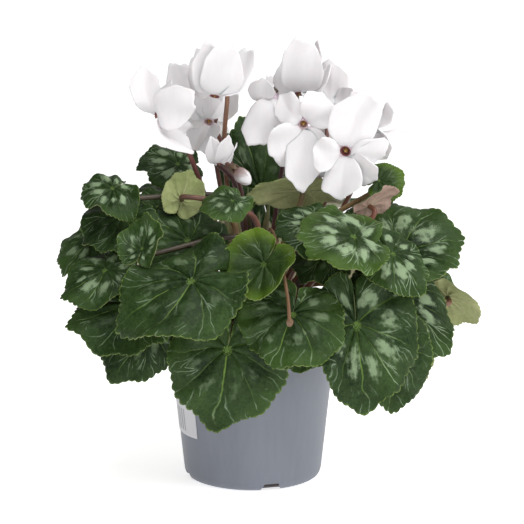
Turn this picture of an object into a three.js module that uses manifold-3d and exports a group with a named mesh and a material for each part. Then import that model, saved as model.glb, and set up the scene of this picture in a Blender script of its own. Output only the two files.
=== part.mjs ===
// A cyclamen in a 12 cm grow pot. Millimetres, +Z up, the pot stands on z = 0 about the Z axis
// and the side seen in the photo looks along -Y.
import * as THREE from "three";
import { mergeVertices } from "three/addons/utils/BufferGeometryUtils.js";
import Module from "manifold-3d";

const wasm = await Module();
wasm.setup();

// ---- driving dimensions ----
const POT_HEIGHT = 108;
const POT_RIM_RADIUS = 60;
const POT_COLLAR_HEIGHT = 22;
const POT_NECK_RADIUS = 56.6;
const POT_FOOT_RADIUS = 48;
const POT_FOOT_ROUND = 5;
const POT_WALL = 1.3;
const POT_FLOOR = 2;
const POT_SIDES = 28;
const SLOT_COUNT = 4;
const SLOT_FIRST = -74;
const SLOT_WIDTH = 17;
const SLOT_TOP_WIDTH = 10;
const SLOT_HEIGHT = 5.5;
const LABEL_FROM = -176;
const LABEL_TO = -137;
const LABEL_BASE = 34;
const LABEL_HEIGHT = 30;
const LABEL_THICKNESS = 0.5;
const SOIL_TOP = 95;
const SOIL_SIDES = 14;
const TUBER_RADIUS = 22;
const TUBER_HEIGHT = 15;
const TUBER_CENTRE = 87;
const FIT_GAP = 0.3;
const BLADE_THICKNESS = 0.8;
const BLADE_SWEEP = 3.1;
const TOOTH = 0.035;
const PETIOLE_RADIUS = 2;
const PETIOLE_STEPS = 4;
const PETIOLE_SIDES = 4;
const ROOT_RINGS = [16.5, 12.5, 8.5];
const PETIOLE_GAP = 0.6;
const CLEARANCE = 0.35;
const SCAPE_RADIUS = 1.7;
const SCAPE_STEPS = 6;
const SCAPE_SIDES = 4;
const PETAL_THICKNESS = 0.8;
const TUBE_LENGTH = 7;

// Each blade: name, where its stalk meets it, its tip, the way its upper face looks, its width,
// how much wider one half is, how far (radians) its tip droops and its sides roll, the depth,
// phase and number of its margin's waves, and its rings.
const LEAVES = [
  ["leaf_07", [8, -82, 164], [-13, -100, 148], [0.1, -0.55, 0.85], 54, 0, -1.0, -1.0, 0.03, 0.0, 5, 3],
  ["leaf_01", [-34, -98, 157], [-81, -106, 128], [-0.3, -0.72, 0.62], 74, 0.02, 0.5, 0.4, 0.2, -1.57, 4, 3],
  ["leaf_05", [25, -94, 134], [16, -101, 99], [-0.1, -0.9, 0.45], 74, 0, 0.3, 0.5, 0.12, 1.2, 4, 3],
  ["leaf_02", [-17, -84, 109], [-27, -80, 54], [-0.05, -1, 0.12], 82, 0.02, 0.25, 0.35, 0.05, 1.0, 5, 3],
  ["leaf_03", [67, -92, 126], [70, -92, 66], [0.05, -1, 0.25], 70, 0.12, 0.3, 0.35, 0.06, 0.5, 5, 3],
  ["leaf_04", [66, -92, 183], [29, -100, 182], [-0.1, -0.6, 0.8], 62, -0.04, 0.4, 0.35, 0.07, 2.0, 5, 3],
  ["leaf_06", [-12, -72, 203], [-25, -84, 191], [-0.1, -0.65, 0.75], 36, -0.12, 0.5, 0.5, 0.14, 1.5, 3, 3],
  ["leaf_08", [-71, -84, 165], [-68, -77, 186], [-0.4, -0.8, 0.4], 34, 0, -0.6, -0.8, 0.14, 2, 4, 2],
  ["leaf_09", [-79, -70, 135], [-120, -78, 120], [-0.2, -0.8, 0.6], 56, 0.12, 0.25, 0.3, 0.06, 1.0, 5, 3],
  ["leaf_10", [-67, -66, 121], [-95, -66, 81], [-0.2, -0.95, 0.2], 56, 0, 0.25, 0.3, 0.06, 0.0, 5, 3],
  ["leaf_11", [-42, -70, 175], [-72, -52, 190], [-0.2, -0.5, 0.85], 62, 0, 0.3, 0.3, 0.06, 0.0, 5, 3],
  ["leaf_12", [-95, -66, 156], [-122, -74, 136], [-0.4, -0.75, 0.5], 44, 0, 0.3, 0.5, 0.18, 1.0, 5, 2],
  ["leaf_13", [-108, -26, 174], [-126, -38, 147], [-0.6, -0.65, 0.4], 54, -0.05, 0.4, 0.5, 0.08, 1.0, 5, 2],
  ["leaf_14", [-91, -54, 209], [-109, -62, 199], [-0.25, -0.6, 0.75], 52, 0, 0.4, 0.6, 0.14, 0.0, 3, 3],
  ["leaf_15", [-85, -46, 185], [-111, -54, 167], [-0.3, -0.65, 0.7], 58, 0, 0.3, 0.3, 0.05, 0.0, 5, 2],
  ["leaf_16", [99, -56, 167], [140, -40, 175], [0.15, -0.7, 0.7], 72, 0.1, 0.35, 0.35, 0.1, 0.5, 4, 3],
  ["leaf_17", [91, -74, 169], [110, -84, 144], [0.2, -0.7, 0.7], 44, -0.05, 0.35, 0.4, 0.08, 0.0, 5, 2],
  ["leaf_18", [98, -58, 140], [130, -60, 98], [0.3, -0.9, 0.4], 62, -0.06, 0.35, 0.4, 0.08, 0.0, 5, 3],
  ["leaf_19", [98, -44, 98], [117, -42, 77], [-0.3, 0.8, 0.5], 46, 0, 0.2, 0.3, 0.05, 0.0, 5, 2],
  ["leaf_20", [89, -70, 107], [93, -66, 63], [0.1, -1, 0.2], 54, 0.05, 0.2, 0.2, 0.04, 1.0, 5, 2],
  ["leaf_21", [132, -26, 132], [154, -20, 112], [-0.2, 0.75, 0.6], 30, 0, 0.4, 0.8, 0.1, 0.0, 5, 2],
  ["leaf_22", [129, -20, 140], [141, -22, 123], [0.3, -0.6, 0.7], 26, 0, 0.4, 0.6, 0.1, 0.0, 5, 2],
  ["leaf_23", [40, -64, 187], [16, -72, 180], [-0.3, -0.7, 0.6], 48, 0.05, 0.3, 0.4, 0.08, 0.0, 5, 2],
  ["leaf_24", [48, -62, 168], [33, -76, 150], [-0.2, -0.6, 0.75], 46, 0, 0.3, 0.5, 0.05, 0.0, 5, 2],
  ["leaf_25", [76, -44, 195], [97, -36, 204], [-0.1, 0.7, 0.7], 30, 0, 0.3, 0.5, 0.05, 0.0, 5, 2],
  ["leaf_26", [86, -10, 208], [103, -4, 213], [0, -0.7, 0.7], 36, 0, 0.4, 0.5, 0.08, 0.0, 5, 2],
  ["leaf_27", [84, -38, 177], [102, -4, 190], [0.2, -0.4, 0.9], 56, 0, 0.2, 0.3, 0.06, 0.0, 5, 2],
  ["leaf_28", [33, -66, 115], [30, -68, 89], [0, -1, 0.15], 60, 0, 0.2, 0.3, 0.05, 0.0, 5, 2],
  ["leaf_29", [-50, -6, 219], [-78, -12, 217], [-0.05, -0.65, 0.75], 43, -0.03, 0.4, 0.4, 0.08, 0.0, 5, 3],
  ["leaf_30", [-56, 6, 200], [-82, 4, 201], [0, -0.1, 2], 46, 0, 0.3, 0.3, 0.04, 0.0, 5, 2],
  ["leaf_31", [-47, -42, 197], [-40, -36, 216], [0.15, 0.9, 0.4], 30, 0, 0.4, 0.6, 0.08, 0.0, 5, 2],
  ["leaf_32", [-63, -34, 194], [-82, -28, 198], [-0.2, -0.5, 0.85], 40, 0, 0.2, 0.4, 0.08, 0.0, 5, 2],
  ["leaf_33", [6, 42, 195], [-7, 58, 245], [0, -0.85, 0.5], 60, 0, 0.2, 0.3, 0.05, 0.0, 5, 2],
  ["leaf_34", [34, -36, 205], [-3, -44, 202], [0.05, 0.85, 0.5], 28, 0, 0.4, 0.5, 0.06, 0.0, 5, 2],
  ["leaf_35", [58, 60, 152], [86, 96, 102], [0.5, 0.6, 0.4], 76, 0, 0.4, 0.3, 0.08, 0, 4, 2],
  ["leaf_36", [16, 70, 160], [26, 118, 112], [0.1, 0.9, 0.5], 76, 0, 0.4, 0.3, 0.08, 1, 4, 2],
  ["leaf_37", [-37, 78, 159], [-63, 114, 120], [-0.3, 0.8, 0.5], 74, 0, 0.4, 0.3, 0.08, 2, 4, 2],
  ["leaf_38", [-78, 44, 150], [-116, 66, 122], [-0.6, 0.5, 0.6], 70, 0, 0.4, 0.3, 0.08, 3, 5, 2],
  ["leaf_39", [104, 26, 140], [140, 36, 108], [0.8, 0.3, 0.5], 66, 0, 0.4, 0.3, 0.08, 4, 5, 2],
  ["leaf_40", [50, 46, 186], [82, 66, 178], [0.2, 0.4, 0.9], 58, 0, 0.3, 0.2, 0.06, 5, 5, 2],
  ["leaf_41", [-30, 54, 186], [-50, 88, 174], [-0.1, 0.5, 0.9], 58, 0, 0.3, 0.2, 0.06, 0, 5, 2],
];

// Each bloom: name, its mouth, the way the mouth faces, its petals, and a point its stalk passes
// below it. A petal is its tip, then its width and how far it is turned about its own length.
const BLOOMS = [
  ["corolla_01", [-64, -30, 254], [-1, -0.3, -0.15], [
    [-74, -28, 287, 19, 1.4],
    [-36, -44, 266, 26, 0.3],
    [-39, -36, 230, 24, 0.9],
    [-41, -12, 245, 16, 0.5],
    [-54, -10, 277, 16, 0.5],
  ], [-42, -20, 227]],
  ["corolla_02", [-30, 6, 247], [-0.2, -0.75, -0.6], [
    [-52, 4, 289, 27, 0.2],
    [-40, 14, 291, 26, 0.4],
    [-31, -10, 229, 20, 0.2],
    [-21, 22, 276, 16, 0.5],
    [-56, 20, 262, 16, 0.5],
  ], [-27, 26, 226]],
  ["corolla_03", [-25, -26, 267], [-0.15, -0.35, -0.9], [
    [-14, -41, 303, 27, 0.1],
    [-27, -42, 303, 24, 0.3],
    [-37, -22, 298, 20, 0.5],
    [-1, -14, 298, 21, 1.0],
    [-22, -4, 298, 20, 0.5],
  ], [-19, -12, 230]],
  ["corolla_04", [14, -2, 262], [-0.3, -0.35, -0.9], [
    [2, -24, 233, 26, 0.1],
    [25, -16, 243, 17, 0.2],
    [5, -8, 278, 19, 0.4],
    [12, 20, 279, 14, 0.4],
    [30, 16, 263, 12, 0.4],
  ], [22, 12, 226]],
  ["corolla_05", [32, -4, 267], [-0.1, -0.4, -0.9], [
    [36, -22, 306, 27, 0],
    [53, -6, 287, 22, 0.9],
    [20, -4, 289, 20, 0.4],
    [42, 13, 302, 18, 0.4],
    [26, 12, 299, 16, 0.4],
  ], [35, 10, 216]],
  ["corolla_06", [34, -34, 249], [0, -0.95, -0.25], [
    [50, -28, 267, 27, 0.1],
    [34, -46, 206, 23, 0],
    [13, -38, 226, 26, 0.1],
    [50, -34, 213, 23, 0.1],
    [18, -20, 267, 18, 0.2],
  ], [41, 0, 208]],
  ["corolla_07", [61, -52, 233], [-0.25, -0.9, -0.3], [
    [73, -42, 272, 31, 0],
    [89, -40, 232, 25, 0.1],
    [80, -48, 212, 22, 0.1],
    [58, -58, 202, 25, 0.1],
    [39, -56, 231, 22, 0.2],
  ], [57, -16, 212]],
  ["corolla_08", [82, 2, 241], [0.2, -0.6, -0.7], [
    [104, 4, 241, 13, 0.3],
    [92, 14, 259, 18, 0.3],
    [68, 10, 267, 20, 0.3],
    [76, 28, 242, 16, 0.4],
    [90, 4, 221, 18, 0.3],
  ], [73, 14, 210]],
  ["corolla_09", [-22, -28, 222], [-0.1, -0.3, -0.9], [
    [-27, -35, 241, 11, 0.3],
    [-16, -38, 242, 11, 0.3],
    [-10, -28, 236, 10, 0.4],
    [-15, -17, 238, 9, 0.4],
    [-29, -20, 236, 9, 0.4],
  ], [-11, -10, 205]],
  ["corolla_10", [55, 52, 252], [0.3, 0.8, -0.4], [
    [55, 58, 287, 24, 0.2],
    [72, 46, 266, 19, 0.2],
    [67, 60, 222, 19, 0.2],
    [42, 62, 222, 19, 0.2],
    [36, 50, 266, 19, 0.2],
  ], [48, 22, 212]],
  ["corolla_11", [-31, 60, 244], [-0.3, 0.8, -0.5], [
    [-33, 64, 281, 24, 0.2],
    [-50, 54, 262, 19, 0.2],
    [-44, 64, 223, 19, 0.2],
    [-20, 68, 223, 19, 0.2],
    [-12, 58, 264, 19, 0.2],
  ], [-15, 26, 215]],
];

// Stalks of the youngest leaves, still furled, that fill the heart of the plant: their tops.
const YOUNG_STALKS = [
  [-28, -26, 192],
  [-20, -30, 196],
  [-11, -32, 192],
  [-3, -18, 205],
  [5, -32, 190],
  [12, -18, 198],
];

// The stalk of a spent bloom, arched over the front leaves and hanging, with its dry calyx.
const SPENT_STALK = [[6, -22, 150], [12, -62, 183], [18, -88, 170], [23, -104, 144], [24, -106, 130]];

// The young bud: its base at the calyx, its tip, and a point its stalk passes below it.
const BUD = [[-11, -44, 220], [-1, -48, 211], [-7, -26, 200]];

// ---- shared shape helpers ----
function solidOf(geometry) {
  const bare = geometry.clone();
  bare.deleteAttribute("normal");
  bare.deleteAttribute("uv");
  const merged = mergeVertices(bare, 1e-4);
  return new wasm.Manifold(
    new wasm.Mesh({
      numProp: 3,
      vertProperties: new Float32Array(merged.attributes.position.array),
      triVerts: new Uint32Array(merged.index.array),
    })
  );
}

function geometryOf(solid) {
  const mesh = solid.getMesh();
  const geometry = new THREE.BufferGeometry();
  geometry.setAttribute("position", new THREE.BufferAttribute(mesh.vertProperties, 3));
  geometry.setIndex(new THREE.BufferAttribute(mesh.triVerts, 1));
  return geometry;
}

function vector(values) {
  return new THREE.Vector3(values[0], values[1], values[2]);
}

// A closed body from a sheet's upper points and the triangles over them: the same triangles
// turned over lie one thickness below, and walls close the edge.
function plateGeometry(points, triangles, thickness) {
  const normals = points.map(() => new THREE.Vector3());
  const edges = new Map();
  for (const [a, b, c] of triangles) {
    const ab = points[b].clone().sub(points[a]);
    const ac = points[c].clone().sub(points[a]);
    const facing = ab.cross(ac);
    for (const corner of [a, b, c]) {
      normals[corner].add(facing);
    }
    for (const [from, to] of [[a, b], [b, c], [c, a]]) {
      if (!edges.delete(to + "," + from)) {
        edges.set(from + "," + to, [from, to]);
      }
    }
  }
  const count = points.length;
  const position = [];
  for (const side of [0.5, -0.5]) {
    points.forEach((point, i) => {
      const place = point.clone().addScaledVector(normals[i].clone().normalize(), side * thickness);
      position.push(place.x, place.y, place.z);
    });
  }
  const index = [];
  for (const [a, b, c] of triangles) {
    index.push(a, b, c, count + a, count + c, count + b);
  }
  for (const [from, to] of edges.values()) {
    index.push(to, from, count + from, to, count + from, count + to);
  }
  const geometry = new THREE.BufferGeometry();
  geometry.setAttribute("position", new THREE.Float32BufferAttribute(position, 3));
  geometry.setIndex(index);
  return geometry;
}

// A round cord of even thickness through the given points, closed at both ends.
function cordSolid(points, radius, steps, sides) {
  const section = new THREE.Shape();
  for (let i = 0; i < sides; i += 1) {
    const turn = (2 * Math.PI * i) / sides;
    const x = radius * Math.cos(turn);
    const y = radius * Math.sin(turn);
    if (i === 0) {
      section.moveTo(x, y);
    } else {
      section.lineTo(x, y);
    }
  }
  const path = new THREE.CatmullRomCurve3(points);
  const settings = { steps, extrudePath: path, bevelEnabled: false };
  return solidOf(new THREE.ExtrudeGeometry(section, settings));
}

// ---- blades ----
// The heart-shaped outline about the stalk's end: 1 toward the tip, wide shoulders, and lobes
// that round back to the notch.
function heartRadius(turn) {
  const lobe = Math.max(0, (Math.abs(turn) - 2.3) / 0.7);
  const point = 0.09 * Math.exp(-Math.pow(turn / 0.2, 2));
  return 0.8 + 0.11 * Math.cos(turn) + point - 0.2 * lobe * lobe;
}

function bladeOf(row) {
  const [name, attach, tip, facing, width, lean, droop, roll, wave, phase, folds, rings] = row;
  const chord = vector(tip).sub(vector(attach));
  const half = Math.abs(droop) < 0.01 ? 1 : Math.sin(droop / 2) / (droop / 2);
  const length = chord.length() / half;
  const along = chord.clone().normalize();
  const up = vector(facing);
  up.addScaledVector(along, -up.dot(along)).normalize();
  const ahead = along.clone().multiplyScalar(Math.cos(droop / 2));
  ahead.addScaledVector(up, Math.sin(droop / 2));
  const normal = up.clone().multiplyScalar(Math.cos(droop / 2));
  normal.addScaledVector(along, -Math.sin(droop / 2));
  const side = normal.clone().cross(ahead);
  const number = Number(name.slice(-2));
  return { name, number, attach: vector(attach), ahead, side, normal, length, width, lean, droop, roll,
    wave, phase, folds, rings };
}

// The middle surface of a blade: a turn about the stalk's end and a share of the way out.
function bladePoint(blade, turn, share, tooth) {
  const reach = heartRadius(turn) * (1 + tooth) * share;
  const x = blade.length * reach * Math.cos(turn);
  const half = blade.width * (0.5 + blade.lean * Math.sign(turn));
  const y = (half / 0.82) * reach * Math.sin(turn);
  const bend = blade.droop / blade.length;
  const bow = (2 * blade.roll) / blade.width;
  let ahead = x;
  let rise = 0;
  if (x > 0) {
    ahead = Math.sin(bend * x) / bend;
    rise -= (1 - Math.cos(bend * x)) / bend;
  }
  const side = Math.sin(bow * y) / bow;
  rise -= (1 - Math.cos(bow * y)) / bow;
  const wave = Math.sin(blade.folds * turn + blade.phase);
  rise += 0.5 * blade.wave * blade.width * Math.pow(share, 3) * wave;
  const point = blade.attach.clone();
  point.addScaledVector(blade.ahead, ahead);
  point.addScaledVector(blade.side, side);
  point.addScaledVector(blade.normal, rise);
  return point;
}

function bladeGeometry(blade) {
  const spokes = blade.rings > 2 ? 17 : 13;
  const points = [bladePoint(blade, 0, 0, 0)];
  for (let ring = 1; ring <= blade.rings; ring += 1) {
    for (let spoke = 0; spoke < spokes; spoke += 1) {
      const turn = -BLADE_SWEEP + (2 * BLADE_SWEEP * spoke) / (spokes - 1);
      const tooth = ring === blade.rings && spoke % 2 === 1 ? -TOOTH : TOOTH;
      points.push(bladePoint(blade, turn, ring / blade.rings, tooth));
    }
  }
  const triangles = [];
  for (let spoke = 0; spoke < spokes - 1; spoke += 1) {
    triangles.push([0, 1 + spoke, 2 + spoke]);
    for (let ring = 1; ring < blade.rings; ring += 1) {
      const inner = 1 + (ring - 1) * spokes + spoke;
      const outer = inner + spokes;
      triangles.push([inner, outer, outer + 1]);
      triangles.push([inner, outer + 1, inner + 1]);
    }
  }
  return plateGeometry(points, triangles, BLADE_THICKNESS);
}

// ---- stalks ----
// Where a stalk leaves the tuber: a place on its top, at a distance from the axis.
function rootAt(azimuth, out) {
  const drop = TUBER_HEIGHT * Math.sqrt(1 - Math.pow(out / TUBER_RADIUS, 2));
  return new THREE.Vector3(
    out * Math.cos(azimuth),
    out * Math.sin(azimuth),
    TUBER_CENTRE + drop - 2
  );
}

// A leaf stalk leaves the tuber on the leaf's side, rises under the canopy and meets the
// underside of its blade square on.
function petiolePath(blade, sway) {
  const azimuth = Math.atan2(blade.attach.y, blade.attach.x);
  const root = rootAt(azimuth, ROOT_RINGS[blade.number % ROOT_RINGS.length]);
  const lift = (blade.attach.z - root.z) * 0.5 + 5;
  const middle = new THREE.Vector3(
    root.x + (blade.attach.x - root.x) * 0.38 + sway[0],
    root.y + (blade.attach.y - root.y) * 0.38 + sway[1],
    root.z + Math.max(14, lift) + sway[2]
  );
  const end = blade.attach.clone();
  end.addScaledVector(blade.normal, -(BLADE_THICKNESS / 2 + PETIOLE_GAP));
  const before = end.clone().addScaledVector(blade.normal, -6);
  return [root, middle, before, end];
}

// How much of a solid lies inside any of the others, in cubic millimetres.
function crossing(solid, others) {
  const box = solid.boundingBox();
  let shared = 0;
  for (const other of others) {
    const reach = other.boundingBox();
    const apart = [0, 1, 2].some(
      (k) => box.max[k] < reach.min[k] || reach.max[k] < box.min[k]
    );
    if (!apart) {
      shared += Math.abs(solid.intersect(other).volume());
    }
  }
  return shared;
}

// Blades are laid in the order of the list: each one slides the least way back, down, outward,
// up or forward that clears the flowers and the blades already laid.
function settleBlades(blades, flowers) {
  const laid = [...flowers];
  return blades.map((blade) => {
    const centre = bladePoint(blade, 0, 0.4, 0);
    const outward = new THREE.Vector3(centre.x, centre.y, 0).normalize();
    const ways = [[0, 1.6, 0], [0, 0, -1], outward.toArray(), [0, 0, 1], [0, -1, 0]].map(vector);
    const start = blade.attach.clone();
    let solid = solidOf(bladeGeometry(blade));
    for (let step = 0; step < 75 && crossing(solid, laid) > 0; step += 1) {
      const way = ways[step % ways.length];
      blade.attach = start.clone().addScaledVector(way, 1 + Math.floor(step / ways.length));
      solid = solidOf(bladeGeometry(blade));
    }
    laid.push(solid);
    return solid;
  });
}

// The ways a stalk may bend to pass clear: straight first, then ever wider.
function stalkSways(reaches) {
  const sways = [[0, 0, 0]];
  for (const reach of reaches) {
    for (let turn = 0; turn < 8; turn += 1) {
      const x = reach * Math.cos((turn * Math.PI) / 4);
      const y = reach * Math.sin((turn * Math.PI) / 4);
      for (const lift of [0, -reach, reach]) {
        sways.push([x, y, lift]);
      }
    }
  }
  return sways;
}

function petioleSolid(blade, obstacles, own) {
  const others = obstacles.filter((solid) => solid !== own);
  let best = null;
  for (const sway of stalkSways([7, 14, 21, 28, 35])) {
    const path = petiolePath(blade, sway);
    const wide = cordSolid(path, PETIOLE_RADIUS + CLEARANCE, PETIOLE_STEPS, PETIOLE_SIDES);
    const solid = cordSolid(path, PETIOLE_RADIUS, PETIOLE_STEPS, PETIOLE_SIDES);
    const shared = crossing(wide, others) + crossing(solid, [own]);
    if (best === null || shared < best.shared - 1e-6) {
      best = { shared, solid };
    }
    if (best.shared === 0) {
      break;
    }
  }
  return best.solid;
}

// ---- blooms ----
function bloomOf(row) {
  const [name, mouth, facing, petals, via] = row;
  return {
    name,
    mouth: vector(mouth),
    axis: vector(facing).normalize(),
    petals,
    tubeRadius: 1.2 + petals[0][3] / 13,
    via: vector(via),
  };
}

// A petal leaves the tube, turns back over its lip and runs to its rounded tip; each one is
// turned a little about its own length, so that the five overlap like a pinwheel.
function petalGeometry(bloom, [x, y, z, width, turn]) {
  const tip = new THREE.Vector3(x, y, z);
  const toTip = tip.clone().sub(bloom.mouth);
  const radial = toTip.clone().addScaledVector(bloom.axis, -toTip.dot(bloom.axis)).normalize();
  const start = bloom.mouth.clone().addScaledVector(bloom.axis, -1.5);
  start.addScaledVector(radial, bloom.tubeRadius * 0.8);
  const bulge = bloom.mouth.clone().addScaledVector(bloom.axis, bloom.tubeRadius * 1.7);
  bulge.addScaledVector(radial, bloom.tubeRadius * 2.5);
  const path = new THREE.QuadraticBezierCurve3(start, bulge, tip);
  const tangential = bloom.axis.clone().cross(radial).normalize();
  const halves = width < 25 ? [0.12, 0.75, 1, 0.4] : [0.12, 0.45, 0.95, 1, 0.45];
  const steps = halves.length - 1;
  const points = [];
  for (let i = 0; i <= steps; i += 1) {
    const t = i / steps;
    const centre = path.getPoint(t);
    const tangent = path.getTangent(t);
    const twist = turn * Math.min(1, 2 * t);
    const across = tangential.clone().applyAxisAngle(tangent, twist);
    const face = tangent.clone().cross(across).normalize();
    const half = (width / 2) * halves[i];
    for (let j = -1; j <= 1; j += 1) {
      const point = centre.clone().addScaledVector(across, half * j);
      point.addScaledVector(face, 0.18 * half * Math.abs(j));
      points.push(point);
    }
  }
  const triangles = [];
  for (let i = 0; i < steps; i += 1) {
    for (let j = 0; j < 2; j += 1) {
      const a = 3 * i + j;
      triangles.push([a, a + 3, a + 4]);
      triangles.push([a, a + 4, a + 1]);
    }
  }
  return plateGeometry(points, triangles, PETAL_THICKNESS);
}

// The young bud is a closed spindle with a blunt base; its stalk and calyx are a bloom's.
function budStand([base, tip, via]) {
  const axis = vector(tip).sub(vector(base)).normalize();
  const mouth = vector(base).addScaledVector(axis, TUBE_LENGTH);
  return { name: "bud_01", mouth, axis, via: vector(via) };
}

function budGeometry([base, tip]) {
  const from = vector(base);
  const along = vector(tip).sub(from);
  const length = along.length();
  const profile = [[0, 0], [0.22, 0.04], [0.4, 0.3], [0.38, 0.62], [0.18, 0.9], [0, 1]];
  const spindle = new THREE.LatheGeometry(
    profile.map(([r, z]) => new THREE.Vector2(r * length * 0.95, z * length)),
    9
  );
  return turned(spindle.rotateX(Math.PI / 2), along.normalize(), from);
}

function turned(geometry, axis, place) {
  const turn = new THREE.Quaternion().setFromUnitVectors(new THREE.Vector3(0, 0, 1), axis);
  return geometry.applyQuaternion(turn).translate(place.x, place.y, place.z);
}

function corollaSolid(bloom) {
  const radius = bloom.tubeRadius;
  const tube = new THREE.CylinderGeometry(radius, radius * 0.7, TUBE_LENGTH, 5);
  tube.rotateX(Math.PI / 2);
  const centre = bloom.mouth.clone().addScaledVector(bloom.axis, -TUBE_LENGTH / 2);
  let solid = solidOf(turned(tube, bloom.axis, centre));
  for (const petal of bloom.petals) {
    solid = solid.add(solidOf(petalGeometry(bloom, petal)));
  }
  return solid;
}

// The calyx cup behind the tube, with its point toward the stalk.
function calyxPlace(bloom) {
  return bloom.mouth.clone().addScaledVector(bloom.axis, -(TUBE_LENGTH + FIT_GAP));
}

function calyxSolid(bloom) {
  const profile = [[0, -4], [2.4, -3], [3.4, 0], [0, 0]];
  const cup = new THREE.LatheGeometry(profile.map(([r, z]) => new THREE.Vector2(r, z)), 5);
  cup.rotateX(Math.PI / 2);
  return solidOf(turned(cup, bloom.axis, calyxPlace(bloom)));
}

// A flower stalk rises beside its flower, hooks over and enters the calyx from behind; turn is
// how far round the calyx it passes from the side it comes from.
function scapePath(bloom, turn, reach) {
  const root = rootAt(Math.atan2(bloom.via.y, bloom.via.x), 4.5);
  const calyx = calyxPlace(bloom);
  const side = bloom.via.clone().sub(calyx);
  side.addScaledVector(bloom.axis, -side.dot(bloom.axis)).normalize();
  side.applyAxisAngle(bloom.axis, turn);
  const beside = calyx.clone().addScaledVector(side, reach).addScaledVector(bloom.axis, 1);
  const top = calyx.clone().addScaledVector(side, reach / 2).addScaledVector(bloom.axis, -7);
  const end = calyx.clone().addScaledVector(bloom.axis, -2.5);
  return [root, bloom.via, beside, top, end];
}

// It passes between the petals with the least turn that touches none of them.
function scapeSolid(bloom, corollas) {
  let best = null;
  for (let step = 0; step < 72; step += 1) {
    const turn = (step % 2 === 0 ? 1 : -1) * Math.ceil((step % 24) / 2) * 0.26;
    const path = scapePath(bloom, turn, [8, 6, 12][Math.floor(step / 24)]);
    const wide = cordSolid(path, SCAPE_RADIUS + CLEARANCE, SCAPE_STEPS, SCAPE_SIDES);
    const shared = crossing(wide, corollas);
    if (best === null || shared < best.shared - 1e-6) {
      best = { shared, solid: cordSolid(path, SCAPE_RADIUS, SCAPE_STEPS, SCAPE_SIDES) };
    }
    if (best.shared === 0) {
      break;
    }
  }
  return best.solid;
}

// A young stalk rises almost straight and ends in a furled leaf no thicker than a pencil lead.
function youngStalkSolid(top) {
  const end = vector(top);
  const root = rootAt(Math.atan2(end.y, end.x), 6);
  const middle = new THREE.Vector3(end.x * 0.45, end.y * 0.5, (root.z + end.z) / 2);
  return cordSolid([root, middle, end], PETIOLE_RADIUS, 3, PETIOLE_SIDES);
}

function spentSolid() {
  const points = SPENT_STALK.map(vector);
  const root = rootAt(-1, 5);
  const calyx = new THREE.IcosahedronGeometry(2.6, 0).scale(1, 1, 1.2);
  const end = points[points.length - 1];
  const cord = cordSolid([root, ...points], SCAPE_RADIUS * 0.7, SCAPE_STEPS + 1, PETIOLE_SIDES);
  return cord.add(solidOf(calyx.translate(end.x, end.y, end.z)));
}

// ---- pot ----
// The wall's outer radius at a height between the foot and the collar.
function potRadius(z) {
  const neck = POT_HEIGHT - POT_COLLAR_HEIGHT;
  const share = (z - POT_FOOT_ROUND) / (neck - 1 - POT_FOOT_ROUND);
  return POT_FOOT_RADIUS + (POT_NECK_RADIUS - POT_FOOT_RADIUS) * share;
}

function potSolid() {
  const top = POT_HEIGHT;
  const neck = POT_HEIGHT - POT_COLLAR_HEIGHT;
  const profile = [
    [0, 0],
    [POT_FOOT_RADIUS - POT_FOOT_ROUND, 0],
    [POT_FOOT_RADIUS - 1.4, 1.5],
    [POT_FOOT_RADIUS, POT_FOOT_ROUND],
    [POT_NECK_RADIUS, neck - 1],
    [POT_RIM_RADIUS - 1.2, neck],
    [POT_RIM_RADIUS, top - 1],
    [POT_RIM_RADIUS - 0.5, top],
    [POT_RIM_RADIUS - POT_WALL - 0.6, top],
    [POT_RIM_RADIUS - POT_WALL - 1.2, neck + 2],
    [POT_NECK_RADIUS - POT_WALL, neck - 1],
    [POT_FOOT_RADIUS - POT_WALL, POT_FOOT_ROUND + 1],
    [POT_FOOT_RADIUS - POT_FOOT_ROUND, POT_FLOOR],
    [0, POT_FLOOR],
  ].map(([r, z]) => new THREE.Vector2(r, z));
  let solid = solidOf(new THREE.LatheGeometry(profile, POT_SIDES).rotateX(Math.PI / 2));
  const opening = new THREE.Shape();
  opening.moveTo(-SLOT_WIDTH / 2, -1);
  opening.lineTo(SLOT_WIDTH / 2, -1);
  opening.lineTo(SLOT_TOP_WIDTH / 2, SLOT_HEIGHT);
  opening.lineTo(-SLOT_TOP_WIDTH / 2, SLOT_HEIGHT);
  for (let i = 0; i < SLOT_COUNT; i += 1) {
    const slot = new THREE.ExtrudeGeometry(opening, { depth: 12, bevelEnabled: false });
    slot.rotateX(Math.PI / 2);
    slot.rotateZ(Math.PI / 2);
    slot.translate(POT_FOOT_RADIUS - 9, 0, 0);
    slot.rotateZ((SLOT_FIRST * Math.PI) / 180 + (2 * Math.PI * i) / SLOT_COUNT);
    solid = solid.subtract(solidOf(slot));
  }
  return solid;
}

// The sticker curves with the wall: a thin band of it between two azimuths.
function labelGeometry() {
  const columns = 6;
  const points = [];
  for (let row = 0; row <= 1; row += 1) {
    const z = LABEL_BASE + LABEL_HEIGHT * row;
    const radius = potRadius(z) + FIT_GAP + LABEL_THICKNESS / 2;
    for (let column = 0; column <= columns; column += 1) {
      const degrees = LABEL_FROM + ((LABEL_TO - LABEL_FROM) * column) / columns;
      const turn = (degrees * Math.PI) / 180;
      points.push(new THREE.Vector3(radius * Math.cos(turn), radius * Math.sin(turn), z));
    }
  }
  const triangles = [];
  for (let column = 0; column < columns; column += 1) {
    const above = column + columns + 1;
    triangles.push([column, column + 1, above + 1]);
    triangles.push([column, above + 1, above]);
  }
  return plateGeometry(points, triangles, LABEL_THICKNESS);
}

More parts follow.
